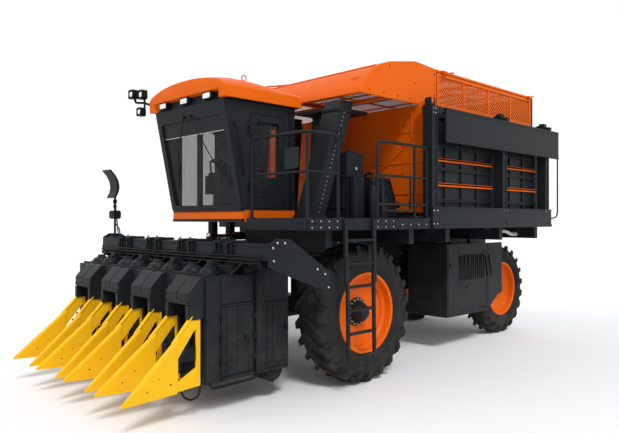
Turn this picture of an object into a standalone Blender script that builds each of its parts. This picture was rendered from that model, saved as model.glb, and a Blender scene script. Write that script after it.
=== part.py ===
"""Self-propelled four-row cotton picker with a side-tipping basket.

Metres, +Z up, ground at z = 0.  The machine faces -Y and +X is its left side.
The origin is on the ground, midway between the divider tips and the back of the
rear tyres.  Every sub-part is one closed solid; moving ones hang on an empty
that stands on their joint's axis.
"""
import math

import bmesh
import bpy
from mathutils import Matrix, Vector

# ---------------------------------------------------------------- clearances
GAP = 0.0003            # between pieces that touch
MOVE_GAP = 0.006        # between pieces that move past each other
PIN_PLAY = 0.0004       # a pin in its eye
PIN_SIDES = 20
TUBE_SIDES = 6
BIG = 9.0               # reach of a cutter that passes right through

# ------------------------------------------------------------------- overall
LENGTH = 8.42
WIDTH = 3.94
TIP_Y = -LENGTH / 2

# -------------------------------------------------------------------- wheels
WHEELBASE = 4.41
FRONT_TYRE_R = 0.875
FRONT_TYRE_W = 0.467
FRONT_RIM_W = 0.42
FRONT_FLANGE_R = 0.507
FRONT_WHEEL_X = 1.44
REAR_TYRE_R = 0.80
REAR_TYRE_W = 0.378
REAR_RIM_W = 0.33
REAR_FLANGE_R = 0.480
REAR_WHEEL_X = 0.915
FLANGE_HEIGHT = 0.024
RIM_SHEET = 0.014
TYRE_WALL = 0.035
WHEEL_SIDES = 28
REAR_AXLE_Y = LENGTH / 2 - REAR_TYRE_R
FRONT_AXLE_Y = REAR_AXLE_Y - WHEELBASE
FRONT_SPINDLE_R = 0.085
REAR_SPINDLE_R = 0.060
FRONT_BEAM = 0.22
REAR_BEAM = 0.18
KINGPIN_X = 0.60
KINGPIN_R = 0.035
KNUCKLE_EAR = 0.06

# --------------------------------------------------------------------- frame
RAIL_X = 0.40
RAIL_WIDTH = 0.12
RAIL_BOTTOM = 1.45
RAIL_TOP = 1.75
RAIL_FRONT = -1.93
RAIL_REAR = 3.92
DECK_TOP = 2.065
DECK_THICKNESS = 0.14
DECK_BOTTOM = DECK_TOP - DECK_THICKNESS
DECK_HALF = 1.90
DECK_FRONT = -2.28
DECK_WING_X = 0.83
DECK_WING_REAR = -0.72
DECK_REAR = 0.0
OUTRIGGER = 0.10
OUTRIGGER_YS = (-0.30, 0.55, 2.05, 3.25)
WING_OUTRIGGER_Y = -1.86    # under the left wing only

# ----------------------------------------------------------------------- cab
CAB_HALF = 0.78
CAB_FRONT = -2.30
CAB_REAR = -1.44
CAB_FLOOR_BOTTOM = 2.02
CAB_FLOOR_TOP = 2.165
CAB_WALL_TOP = 3.50
CAB_LEAN = 0.27         # how far the top of the windscreen leans forward
CAB_WALL = 0.05
CAB_PILLAR = 0.075
GLASS = 0.010
ROOF_OVERHANG = 0.08
ROOF_SIDE = 0.17
ROOF_CROWN = 0.20
DOOR_HINGE_Y = -2.19
DOOR_HINGE_X = CAB_HALF + 0.022
DOOR_REAR = -1.64
DOOR_PIN_R = 0.012

# -------------------------------------------------------------------- header
ROWS = 4
ROW_SPACING = 0.76
HEADER_PIVOT = Vector((0.0, -1.60, 1.30))
HEADER_ARM_X = 0.62
HEADER_ARM = 0.07
PIVOT_PIN_R = 0.03
TOOLBAR_Y = -2.73
TOOLBAR_DEPTH = 0.16
TOOLBAR_TOP = 1.79
TOOLBAR_HEIGHT = 0.17
TOOLBAR_HALF = 1.87
END_PLATE = 0.015
UNIT_FRONT = -3.25
UNIT_REAR = -2.10
UNIT_TOP = 1.45
UNIT_BOTTOM = 0.335
UNIT_THROAT = 0.165     # half the width of the slot the plants pass through
UNIT_CABINET = 0.515    # from the row to the far side of its drum cabinet
UNIT_SKIN = 0.240       # from the row to its open side's outer plate
UNIT_SHEET = 0.030
UNIT_THROAT_TOP = 1.15
HOOD_FRONT = -3.43
DIVIDER_TIP_Z = 0.300
DIVIDER_TIP_X = 0.255
DIVIDER_TOP_X = 0.175
DIVIDER_TOP_Y = UNIT_FRONT - 0.04
DIVIDER_TOP_Z = 1.139
DIVIDER_SHEET = 0.035

# -------------------------------------------------------------------- basket
BASKET_HALF = 1.70
BASKET_UPPER_HALF = 1.57
BASKET_FRONT = 0.20
BASKET_REAR = 3.62
BASKET_FLOOR = 2.10
BASKET_SHOULDER = 3.66
BASKET_TOP = 4.235
BASKET_WALL = 0.05
UPPER_WALL = 0.035
HOOD_REAR = 0.63
MAST_INNER = 1.76
MAST_OUTER = 1.90
MAST_TOP = 3.60
MASTS = (0.10, 2.00, 3.47)      # middle of each mast along Y
MAST_WIDTH = 0.14
BASKET_PIVOT = Vector((1.83, 0.0, 3.665))
BASKET_PIN_R = 0.025
LUG = 0.045
SILL_TOP = 2.225
SILL_BOTTOM = 1.925
SILL = 0.03
LIP_THICKNESS = 0.04
LIP_AXIS = Vector((WIDTH / 2 - LIP_THICKNESS / 2, 0.0, 3.625))
LIP_TOP = 3.585
LIP_BOTTOM = 3.11
LIP_FRONT = 0.28
LIP_REAR = 3.80
DOOR_AXIS = Vector((BASKET_UPPER_HALF + 0.033, 0.0, 4.212))

# ------------------------------------------------------------------- colours
ORANGE = (0.80, 0.12, 0.006)
DARK = (0.024, 0.029, 0.032)
YELLOW = (0.87, 0.51, 0.010)
RUBBER = (0.014, 0.014, 0.014)
STEEL = (0.55, 0.55, 0.55)
FABRIC = (0.03, 0.03, 0.035)
TINTED = (0.08, 0.09, 0.10)


# ============================================================ shape functions
def finished(bm):
    """Merge doubled corners and turn every face outwards."""
    bmesh.ops.remove_doubles(bm, verts=bm.verts, dist=1e-6)
    bmesh.ops.recalc_face_normals(bm, faces=bm.faces)
    return bm


def prism(axis, outline, low, high):
    """Extrude a closed outline along X (y, z), Y (x, z) or Z (x, y)."""
    place = {
        "X": lambda a, b: (low, a, b),
        "Y": lambda a, b: (a, low, b),
        "Z": lambda a, b: (a, b, low),
    }[axis]
    step = {"X": (1, 0, 0), "Y": (0, 1, 0), "Z": (0, 0, 1)}[axis]
    bm = bmesh.new()
    base = bm.faces.new([bm.verts.new(place(a, b)) for a, b in outline])
    grown = bmesh.ops.extrude_face_region(bm, geom=[base])
    moved = [item for item in grown["geom"] if isinstance(item, bmesh.types.BMVert)]
    bmesh.ops.translate(bm, verts=moved, vec=Vector(step) * (high - low))
    return finished(bm)


def box(x, y, z):
    """A block from three (low, high) ranges."""
    outline = [(x[0], y[0]), (x[1], y[0]), (x[1], y[1]), (x[0], y[1])]
    return prism("Z", outline, z[0], z[1])


def ranges(centre, size):
    """(low, high) of a stretch with a middle and a size."""
    return (centre - size / 2, centre + size / 2)


def turned(profile, axis, centre, sides=PIN_SIDES):
    """Spin a closed (along, radius) profile about X, Y or Z."""
    bm = bmesh.new()
    corners = [bm.verts.new((radius, 0, along)) for along, radius in profile]
    edges = [bm.edges.new((corners[i - 1], corners[i])) for i in range(len(corners))]
    bmesh.ops.spin(bm, geom=corners + edges, cent=(0, 0, 0), axis=(0, 0, 1),
                   angle=2 * math.pi, steps=sides, use_merge=True)
    turn = {
        "X": Matrix.Rotation(math.pi / 2, 4, "Y"),
        "Y": Matrix.Rotation(-math.pi / 2, 4, "X"),
        "Z": Matrix.Identity(4),
    }[axis]
    bmesh.ops.transform(bm, matrix=Matrix.Translation(centre) @ turn, verts=bm.verts)
    return finished(bm)


def rod(axis, centre, low, high, radius, sides=PIN_SIDES):
    """A round bar along an axis from low to high, measured on that axis."""
    index = "XYZ".index(axis)
    middle = Vector(centre)
    middle[index] = (low + high) / 2
    bm = bmesh.new()
    bmesh.ops.create_cone(bm, cap_ends=True, segments=sides, radius1=radius,
                          radius2=radius, depth=high - low)
    turn = {
        "X": Matrix.Rotation(math.pi / 2, 4, "Y"),
        "Y": Matrix.Rotation(-math.pi / 2, 4, "X"),
        "Z": Matrix.Identity(4),
    }[axis]
    bmesh.ops.transform(bm, matrix=Matrix.Translation(middle) @ turn, verts=bm.verts)
    return finished(bm)


def bar(start, end, radius, sides=TUBE_SIDES):
    """A straight round bar between two points."""
    start = Vector(start)
    end = Vector(end)
    along = end - start
    bm = bmesh.new()
    bmesh.ops.create_cone(bm, cap_ends=True, segments=sides, radius1=radius,
                          radius2=radius, depth=along.length)
    turn = along.to_track_quat("Z", "Y").to_matrix().to_4x4()
    bmesh.ops.transform(bm, matrix=Matrix.Translation((start + end) / 2) @ turn, verts=bm.verts)
    return finished(bm)


def pipe(points, radius, sides=TUBE_SIDES):
    """Straight bars end to end, with a ball of the same size on each bend."""
    shapes = [bar(a, b, radius, sides) for a, b in zip(points, points[1:])]
    for point in points[1:-1]:
        bm = bmesh.new()
        bmesh.ops.create_icosphere(bm, subdivisions=1, radius=radius * 1.08)
        bmesh.ops.translate(bm, verts=bm.verts, vec=point)
        shapes.append(bm)
    return shapes


def bore(axis, centre, low, high, pin_radius):
    """A cutter for the hole a pin runs in, round enough for the pin's corners."""
    radius = (pin_radius + PIN_PLAY) / math.cos(math.pi / PIN_SIDES)
    return rod(axis, centre, low, high, radius)


def sheared(bm, rate, origin_y):
    """Lean a shape sideways: x grows with y at the given rate."""
    for vert in bm.verts:
        vert.co.x += rate * (vert.co.y - origin_y)
    return bm


def mirrored(shapes):
    """The same shapes on the other side of the machine."""
    copies = []
    for bm in shapes:
        copy = bm.copy()
        bmesh.ops.scale(copy, vec=(-1, 1, 1), verts=copy.verts)
        bmesh.ops.reverse_faces(copy, faces=copy.faces)
        copies.append(finished(copy))
    return copies


# ======================================================== building the objects
def scratch_object(bm):
    """A short-lived object, used only inside a Boolean."""
    mesh = bpy.data.meshes.new("scratch")
    bm.to_mesh(mesh)
    return bpy.data.objects.new("scratch", mesh)


def boolean(target, shapes, operation):
    """Add or take away a whole group of shapes at once."""
    if not shapes:
        return
    group = bpy.data.collections.new("operands")
    for bm in shapes:
        group.objects.link(scratch_object(bm))
    bpy.context.scene.collection.children.link(group)
    modifier = target.modifiers.new(operation.lower(), "BOOLEAN")
    modifier.operation = operation
    modifier.solver = "EXACT"
    modifier.operand_type = "COLLECTION"
    modifier.collection = group
    depsgraph = bpy.context.evaluated_depsgraph_get()
    result = bpy.data.meshes.new_from_object(target.evaluated_get(depsgraph))
    target.modifiers.clear()
    target.data = result
    for item in list(group.objects):
        bpy.data.objects.remove(item)
    bpy.data.collections.remove(group)


def paint(name, colour, roughness, metallic=0.0, alpha=1.0):
    """The part's own Principled material."""
    material = bpy.data.materials.new(name)
    material.use_nodes = True
    shader = material.node_tree.nodes["Principled BSDF"]
    shader.inputs["Base Color"].default_value = (*colour, 1.0)
    shader.inputs["Roughness"].default_value = roughness
    shader.inputs["Metallic"].default_value = metallic
    shader.inputs["Alpha"].default_value = alpha
    return material


LOOKS = {
    "orange": (ORANGE, 0.35),
    "dark": (DARK, 0.45),
    "yellow": (YELLOW, 0.35),
    "rubber": (RUBBER, 0.85),
    "steel": (STEEL, 0.25, 1.0),
    "fabric": (FABRIC, 0.9),
    "glass": (TINTED, 0.05, 0.0, 0.4),
}


def solid(name, look, shapes, cuts=(), pivot=None, round_piece=False):
    """One named sub-part: shapes joined, cuts taken out, hung on its pivot."""
    target = scratch_object(shapes[0])
    bpy.context.scene.collection.objects.link(target)
    boolean(target, list(shapes[1:]), "UNION")
    boolean(target, list(cuts), "DIFFERENCE")
    target.name = name
    target.data.name = name
    target.data.materials.clear()
    target.data.materials.append(paint(name, *LOOKS[look]))
    if pivot is not None:
        target.data.transform(Matrix.Translation(-pivot.matrix_world.translation))
        target.parent = pivot
    if round_piece:
        target.data.shade_smooth()
        target.data.set_sharp_from_angle(angle=math.radians(32))
    return target


def pivot_empty(name, place, parent=None):
    """An empty on a joint's axis, which the moving pieces are parented to."""
    empty = bpy.data.objects.new(name, None)
    bpy.context.scene.collection.objects.link(empty)
    empty.location = place
    if parent is not None:
        empty.location = Vector(place) - parent.matrix_world.translation
        empty.parent = parent
    bpy.context.view_layer.update()
    return empty


# ================================================================ the chassis
def build_main_frame():
    """Two long rails, cross members, deck outriggers and the brackets on them."""
    rail_inner = RAIL_X - RAIL_WIDTH / 2
    rail_outer = RAIL_X + RAIL_WIDTH / 2
    shapes = []
    for side in (-1, 1):
        x = sorted((side * rail_inner, side * rail_outer))
        shapes.append(box(x, (RAIL_FRONT, RAIL_REAR), (RAIL_BOTTOM, RAIL_TOP)))
        front_post = ranges(FRONT_AXLE_Y, FRONT_BEAM)
        axle_top = FRONT_TYRE_R + FRONT_BEAM / 2
        shapes.append(box(x, front_post, (axle_top + GAP, RAIL_BOTTOM + 0.02)))
    for y in (-1.47, -0.45, 0.70, 2.90, REAR_AXLE_Y):
        shapes.append(box((-RAIL_X, RAIL_X), ranges(y, 0.12), (RAIL_BOTTOM + 0.05, RAIL_TOP - 0.05)))
    for y in OUTRIGGER_YS:
        reach = MAST_INNER + 0.05
        shapes.append(box((-reach, reach), ranges(y, OUTRIGGER), (RAIL_TOP - 0.02, DECK_BOTTOM - GAP)))
    shapes.append(box((rail_inner, MAST_INNER + 0.05), ranges(WING_OUTRIGGER_Y, OUTRIGGER),
                      (RAIL_TOP - 0.02, DECK_BOTTOM - GAP)))
    bed_front = BASKET_FRONT + 0.05
    bed_rear = BASKET_REAR - 0.05
    bed = (DECK_BOTTOM - 0.05, BASKET_FLOOR - MOVE_GAP)
    for x in (-1.0, 1.0):
        shapes.append(box(ranges(x, 0.10), (bed_front, bed_rear), bed))
    hanger = ranges(REAR_AXLE_Y, 0.20)
    rear_beam_top = REAR_TYRE_R + REAR_BEAM / 2
    shapes.append(box((-0.10, 0.10), hanger, (rear_beam_top + GAP, RAIL_TOP - 0.06)))
    for x in (-0.46, 0.46):
        for y in (-1.86, -1.56):
            shapes.append(box(ranges(x, 0.10), ranges(y, 0.09), (RAIL_TOP - 0.04, CAB_FLOOR_BOTTOM - GAP)))
    pivot_y = HEADER_PIVOT.y
    pivot_z = HEADER_PIVOT.z
    shapes.append(box((-0.72, 0.72), (pivot_y + 0.12, pivot_y + 0.22), (RAIL_BOTTOM + 0.04, RAIL_TOP - 0.03)))
    ear = [(pivot_y - 0.07, pivot_z - 0.07), (pivot_y + 0.08, pivot_z - 0.07),
           (pivot_y + 0.21, RAIL_BOTTOM + 0.10), (pivot_y + 0.13, RAIL_BOTTOM + 0.20),
           (pivot_y - 0.07, pivot_z + 0.08)]
    half_slot = HEADER_ARM / 2 + MOVE_GAP
    for side in (-1, 1):
        for inner in (HEADER_ARM_X - half_slot - 0.03, HEADER_ARM_X + half_slot):
            x = sorted((side * inner, side * (inner + 0.03)))
            shapes.append(prism("X", ear, x[0], x[1]))
        pin = sorted((side * (HEADER_ARM_X - half_slot - 0.04), side * (HEADER_ARM_X + half_slot + 0.04)))
        shapes.append(rod("X", HEADER_PIVOT, pin[0], pin[1], PIVOT_PIN_R))
    shapes += lift_anchor()
    return solid("main_frame", "dark", shapes)


CYLINDER_FOOT = Vector((0.0, -1.25, 1.83))
CYLINDER_HEAD = Vector((0.0, -2.20, 1.83))
CYLINDER_PIN_R = 0.022
CYLINDER_R = 0.055
CYLINDER_ROD_R = 0.028
CYLINDER_WIDTH = 0.06
CYLINDER_NECK = 0.14        # from the foot's pin to the start of the barrel


def lift_anchor():
    """The clevis on the frame that holds the foot of the lift cylinder."""
    y = CYLINDER_FOOT.y
    z = CYLINDER_FOOT.z
    plate = [(y - 0.05, RAIL_TOP - 0.08), (y + 0.07, RAIL_TOP - 0.08), (y + 0.05, z + 0.05), (y - 0.05, z + 0.05)]
    inner = CYLINDER_WIDTH / 2 + MOVE_GAP
    shapes = [prism("X", plate, inner, inner + 0.025), prism("X", plate, -inner - 0.025, -inner)]
    shapes.append(box((-RAIL_X, RAIL_X), ranges(y + 0.01, 0.12), (RAIL_BOTTOM + 0.06, RAIL_TOP - 0.05)))
    shapes.append(rod("X", CYLINDER_FOOT, -inner - 0.03, inner + 0.03, CYLINDER_PIN_R))
    return shapes


def build_front_axle():
    """The driven beam: centre gearbox, final drives and the wheel spindles."""
    centre = Vector((0, FRONT_AXLE_Y, FRONT_TYRE_R))
    y = ranges(centre.y, FRONT_BEAM)
    z = ranges(centre.z, FRONT_BEAM)
    shapes = [box((-1.05, 1.05), y, z)]
    shapes.append(box((-0.20, 0.20), ranges(centre.y, 0.40), (centre.z - 0.20, centre.z + 0.10)))
    drive_out = FRONT_WHEEL_X - FRONT_RIM_W / 2
    for side in (-1, 1):
        shapes.append(rod("X", centre, *sorted((side * 0.98, side * drive_out)), 0.24))
        tip = FRONT_WHEEL_X + 0.17
        shapes.append(rod("X", centre, *sorted((side * (drive_out - 0.05), side * tip)), FRONT_SPINDLE_R))
    return solid("front_axle", "dark", shapes)


def build_rear_axle():
    """The steered beam with an upright kingpin at each end."""
    centre = Vector((0, REAR_AXLE_Y, REAR_TYRE_R))
    shapes = [box((-KINGPIN_X + 0.03, KINGPIN_X - 0.03), ranges(centre.y, 0.14), ranges(centre.z, REAR_BEAM))]
    pin_reach = REAR_BEAM / 2 + KNUCKLE_EAR + 0.03
    for side in (-1, 1):
        at = (side * KINGPIN_X, centre.y, 0)
        shapes.append(rod("Z", at, *ranges(centre.z, REAR_BEAM), 0.068))
        shapes.append(rod("Z", at, centre.z - pin_reach, centre.z + pin_reach, KINGPIN_R))
    return solid("rear_axle", "dark", shapes)


def build_knuckle(name, side, pivot):
    """A C-shaped steering knuckle round the kingpin, with the wheel's spindle."""
    y = REAR_AXLE_Y
    z = REAR_TYRE_R
    inner = REAR_BEAM / 2 + MOVE_GAP
    outer = inner + KNUCKLE_EAR
    web = KINGPIN_X + 0.085
    shapes = []
    for low, high in ((z + inner, z + outer), (z - outer, z - inner)):
        x = sorted((side * (KINGPIN_X - 0.06), side * (web + 0.02)))
        shapes.append(box(x, ranges(y, 0.14), (low, high)))
    shapes.append(box(sorted((side * web, side * (web + 0.035))), ranges(y, 0.18), (z - outer, z + outer)))
    spindle = sorted((side * (web + 0.02), side * (REAR_WHEEL_X + 0.14)))
    shapes.append(rod("X", (0, y, z), *spindle, REAR_SPINDLE_R))
    hole = bore("Z", (side * KINGPIN_X, y, 0), z - outer - 0.02, z + outer + 0.02, KINGPIN_R)
    return solid(name, "dark", shapes, [hole], pivot)


def wheel_profiles(tyre_r, tyre_w, rim_w, flange_r, spindle_r, side):
    """The (along, radius) outlines of a dished rim and of the tyre on it."""
    half = rim_w / 2
    seat = flange_r - FLANGE_HEIGHT
    barrel = seat - RIM_SHEET
    disc = 0.10 * side
    disc_low, disc_high = sorted((disc, disc + 0.02 * side))
    hub_r = spindle_r + 0.075
    hub_low, hub_high = sorted((-0.02 * side, 0.155 * side))
    hole = (spindle_r + PIN_PLAY) / math.cos(math.pi / WHEEL_SIDES)
    rim = [(-half, flange_r), (-half + RIM_SHEET, flange_r), (-half + RIM_SHEET, seat),
           (half - RIM_SHEET, seat), (half - RIM_SHEET, flange_r), (half, flange_r),
           (half, barrel), (disc_high, barrel), (disc_high, hub_r), (hub_high, hub_r),
           (hub_high, hole), (hub_low, hole), (hub_low, hub_r), (disc_low, hub_r),
           (disc_low, barrel), (-half, barrel)]
    bead = half - RIM_SHEET - GAP
    shoulder = tyre_r - 0.055
    bulge = (flange_r + tyre_r) / 2
    outer = [(bead, seat + GAP), (bead, flange_r + 0.004), (tyre_w / 2 - 0.012, flange_r + 0.05),
             (tyre_w / 2, bulge), (tyre_w / 2 - 0.015, shoulder), (tyre_w / 2 - 0.055, tyre_r - 0.008),
             (tyre_w / 8, tyre_r)]
    inner = [(bead - TYRE_WALL, seat + GAP), (bead - TYRE_WALL, flange_r + 0.03),
             (tyre_w / 2 - TYRE_WALL, bulge), (tyre_w / 2 - 0.075, tyre_r - 0.085)]
    tyre = outer + [(-a, r) for a, r in reversed(outer)]
    tyre += [(-a, r) for a, r in inner] + [(a, r) for a, r in reversed(inner)]
    return rim, tyre


def build_wheel(name, side, x, y, sizes, pivot):
    """A dished rim and its tyre, both turned about the axle."""
    rim, tyre = wheel_profiles(*sizes, side)
    centre = (side * x, y, sizes[0])
    solid("tyre_" + name, "rubber", [turned(tyre, "X", centre, WHEEL_SIDES)], (), pivot, True)
    solid("rim_" + name, "orange", [turned(rim, "X", centre, WHEEL_SIDES)], (), pivot, True)


def build_engine():
    """The engine, one plain block hung under the rails."""
    solid("engine_block", "dark", [box((-0.38, 0.38), (1.20, 2.60), (0.88, RAIL_BOTTOM - GAP))])


def build_deck():
    """The service deck: a full-width part behind the cab and a wing left of it."""
    outline = [(-DECK_HALF, DECK_WING_REAR), (DECK_WING_X, DECK_WING_REAR), (DECK_WING_X, DECK_FRONT),
               (DECK_HALF, DECK_FRONT), (DECK_HALF, DECK_REAR), (-DECK_HALF, DECK_REAR)]
    solid("service_deck", "dark", [prism("Z", outline, DECK_BOTTOM, DECK_TOP)])


def build_deck_machinery():
    """The oil tank and the fan housing that stand on the deck."""
    base = DECK_TOP + GAP
    solid("hydraulic_tank", "dark", [box((0.90, 1.30), (-1.00, -0.68), (base, 2.93))])
    fan = [(-0.60, base), (-0.60, 2.62), (-0.17, 2.62), (-0.05, 2.36), (-0.02, base)]
    solid("fan_housing", "dark", [prism("X", fan, 0.92, 1.34)])


SIDE_BOX_FRONT = 1.22
SIDE_BOX_REAR = 2.42
SIDE_SHEET_REAR = 2.90
SIDE_BOX_BOTTOM = 0.53
SIDE_BOX_TOP = 1.66
SIDE_BOX_OUTER = 1.36


def build_side_box(name, side):
    """A tank box ahead of a rear wheel; its louvred side sheet runs past it."""
    sheet = [(SIDE_BOX_FRONT, SIDE_BOX_BOTTOM), (SIDE_BOX_REAR, SIDE_BOX_BOTTOM),
             (SIDE_SHEET_REAR, 0.88), (SIDE_SHEET_REAR, SIDE_BOX_TOP), (SIDE_BOX_FRONT, SIDE_BOX_TOP)]
    inner = 0.62
    shapes = [box((inner, SIDE_BOX_OUTER - 0.01), (SIDE_BOX_FRONT, SIDE_BOX_REAR),
                  (SIDE_BOX_BOTTOM, SIDE_BOX_TOP))]
    shapes.append(prism("X", sheet, SIDE_BOX_OUTER - 0.03, SIDE_BOX_OUTER))
    hanger_top = RAIL_TOP - 0.02 - GAP
    for x in (0.80, 1.25):
        shapes.append(box(ranges(x, 0.06), ranges(OUTRIGGER_YS[2], 0.08), (SIDE_BOX_TOP - 0.02, hanger_top)))
    cavity = box((inner + 0.04, SIDE_BOX_OUTER - 0.045), (SIDE_BOX_FRONT + 0.04, SIDE_BOX_REAR - 0.04),
                 (SIDE_BOX_BOTTOM - 0.1, SIDE_BOX_TOP - 0.04))
    cuts = [cavity]
    for number in range(8):
        y = SIDE_BOX_FRONT + 0.42 + 0.125 * number
        slot = [(y, 1.10), (y + 0.05, 1.10), (y - 0.03, 1.47), (y - 0.08, 1.47)]
        cuts.append(prism("X", slot, SIDE_BOX_OUTER - 0.06, SIDE_BOX_OUTER + 0.05))
    if side < 0:
        shapes = mirrored(shapes)
        cuts = mirrored(cuts)
    solid(name, "dark", shapes, cuts)


# ----------------------------------------------------------------- the masts
def build_mast_frames():
    """The sill along each side; the left one carries the masts the basket tips on."""
    y = (BASKET_FRONT + 0.02, LIP_REAR - 0.20)
    sill_z = (SILL_BOTTOM, SILL_TOP)
    shapes = [box((MAST_OUTER - 0.01, MAST_OUTER - 0.01 + SILL), (MASTS[0] - MAST_WIDTH / 2, y[1]), sill_z)]
    feet = [box((MAST_INNER, MAST_OUTER - 0.005), ranges(y_foot, OUTRIGGER - 0.02), (SILL_BOTTOM, SILL_BOTTOM + 0.07))
            for y_foot in OUTRIGGER_YS[1:]]
    shapes += feet
    for middle in MASTS:
        span = ranges(middle, MAST_WIDTH)
        shapes.append(box((MAST_INNER, MAST_OUTER), span, (SILL_BOTTOM, MAST_TOP)))
        for end in (-1, 1):
            slot = LUG / 2 + MOVE_GAP
            ear = sorted((middle + end * slot, middle + end * (slot + 0.022)))
            shapes.append(box(ranges(BASKET_PIVOT.x, 0.09), ear, (MAST_TOP - 0.02, BASKET_PIVOT.z + 0.045)))
        half_pin = LUG / 2 + MOVE_GAP + 0.03
        shapes.append(rod("Y", BASKET_PIVOT, middle - half_pin, middle + half_pin, BASKET_PIN_R))
    for middle in MASTS[1:]:
        for end in (-1, 1):
            slot = LIP_EYE / 2 + MOVE_GAP
            ear = sorted((middle + end * slot, middle + end * (slot + 0.018)))
            shapes.append(box((MAST_OUTER - 0.02, LIP_AXIS.x + 0.015), ear, (MAST_TOP - 0.005, LIP_AXIS.z + 0.018)))
        half_pin = LIP_EYE / 2 + MOVE_GAP + 0.02
        shapes.append(rod("Y", LIP_AXIS, middle - half_pin, middle + half_pin, LIP_PIN_R, 12))
    right = [box((MAST_OUTER - 0.01, WIDTH / 2), (MASTS[0] - MAST_WIDTH / 2, y[1]), sill_z)]
    right += [bm.copy() for bm in feet]
    for middle in MASTS:
        right.append(box((MAST_INNER + 0.02, MAST_OUTER), ranges(middle, MAST_WIDTH - 0.02), (SILL_BOTTOM, SILL_TOP - 0.04)))
    solid("mast_frame_left", "dark", shapes)
    solid("mast_frame_right", "dark", mirrored(right))


LIP_EYE = 0.05
LIP_PIN_R = 0.010


def build_lip(pivot):
    """The long flap outside the masts that guides the cotton as the basket tips."""
    x = ranges(LIP_AXIS.x, LIP_THICKNESS)
    shapes = [box(x, (LIP_FRONT, LIP_REAR), (LIP_BOTTOM, LIP_TOP))]
    cuts = []
    for middle in MASTS[1:]:
        span = ranges(middle, LIP_EYE)
        shapes.append(box(ranges(LIP_AXIS.x, 0.034), span, (LIP_TOP - 0.05, LIP_AXIS.z + 0.016)))
        cuts.append(bore("Y", LIP_AXIS, span[0] - 0.01, span[1] + 0.01, LIP_PIN_R))
    solid("unloading_lip", "dark", shapes, cuts, pivot)


# ----------------------------------------------------------------- the ducts
DUCT_WIDE = 0.28
DUCT_DEEP = 0.24
DUCT_BASE_Y = -1.52
DUCT_TOP_Y = -0.97
DUCT_INNER_LEAN = 0.12
DUCT_STRAP_Z = 3.54


def duct_outline(x):
    """Side outline of the duct of the row at x; those by the cab stand further back."""
    low = DECK_TOP + GAP
    high = BASKET_SHOULDER - 0.06
    beside_cab = x > CAB_HALF
    base_y = DUCT_BASE_Y if beside_cab else DECK_WING_REAR + DUCT_DEEP / 2 + 0.02
    top_y = DUCT_TOP_Y if beside_cab else base_y + DUCT_INNER_LEAN
    half = DUCT_DEEP / 2
    return [(base_y - half, low), (base_y + half, low), (top_y + half, high), (top_y - half, high)]


def build_ducts():
    """Four leaning air ducts, one a row, tied in pairs by a strap near the top."""
    rows = row_places()
    for name, pair in (("ducts_right", rows[:2]), ("ducts_left", rows[2:])):
        outlines = [duct_outline(x) for x in pair]
        shapes = [prism("X", outline, *ranges(x, DUCT_WIDE)) for x, outline in zip(pair, outlines)]
        front = min(outline[3][0] for outline in outlines) + 0.04
        rear = max(outline[2][0] for outline in outlines) - 0.04
        strap_z = (DUCT_STRAP_Z - 0.04, DUCT_STRAP_Z)
        shapes.append(box((pair[0] + 0.02, pair[1] - 0.02), (front, rear), strap_z))
        solid(name, "dark", shapes)


# ==================================================================== the cab
def cab_front_at(z):
    """Y of the windscreen's outer plane at a height."""
    share = (z - CAB_FLOOR_TOP) / (CAB_WALL_TOP - CAB_FLOOR_TOP)
    return CAB_FRONT - CAB_LEAN * share


def lean_outline(low, high, front_set, rear):
    """A side outline whose front edge follows the windscreen, set back a bit."""
    return [(cab_front_at(low) + front_set, low), (rear, low), (rear, high),
            (cab_front_at(high) + front_set, high)]


WINDOW_LOW = CAB_FLOOR_TOP + 0.035
WINDOW_HIGH = CAB_WALL_TOP - 0.16
SIDE_WINDOW_FRONT = -2.19
SIDE_WINDOW_REAR = -1.58


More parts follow.
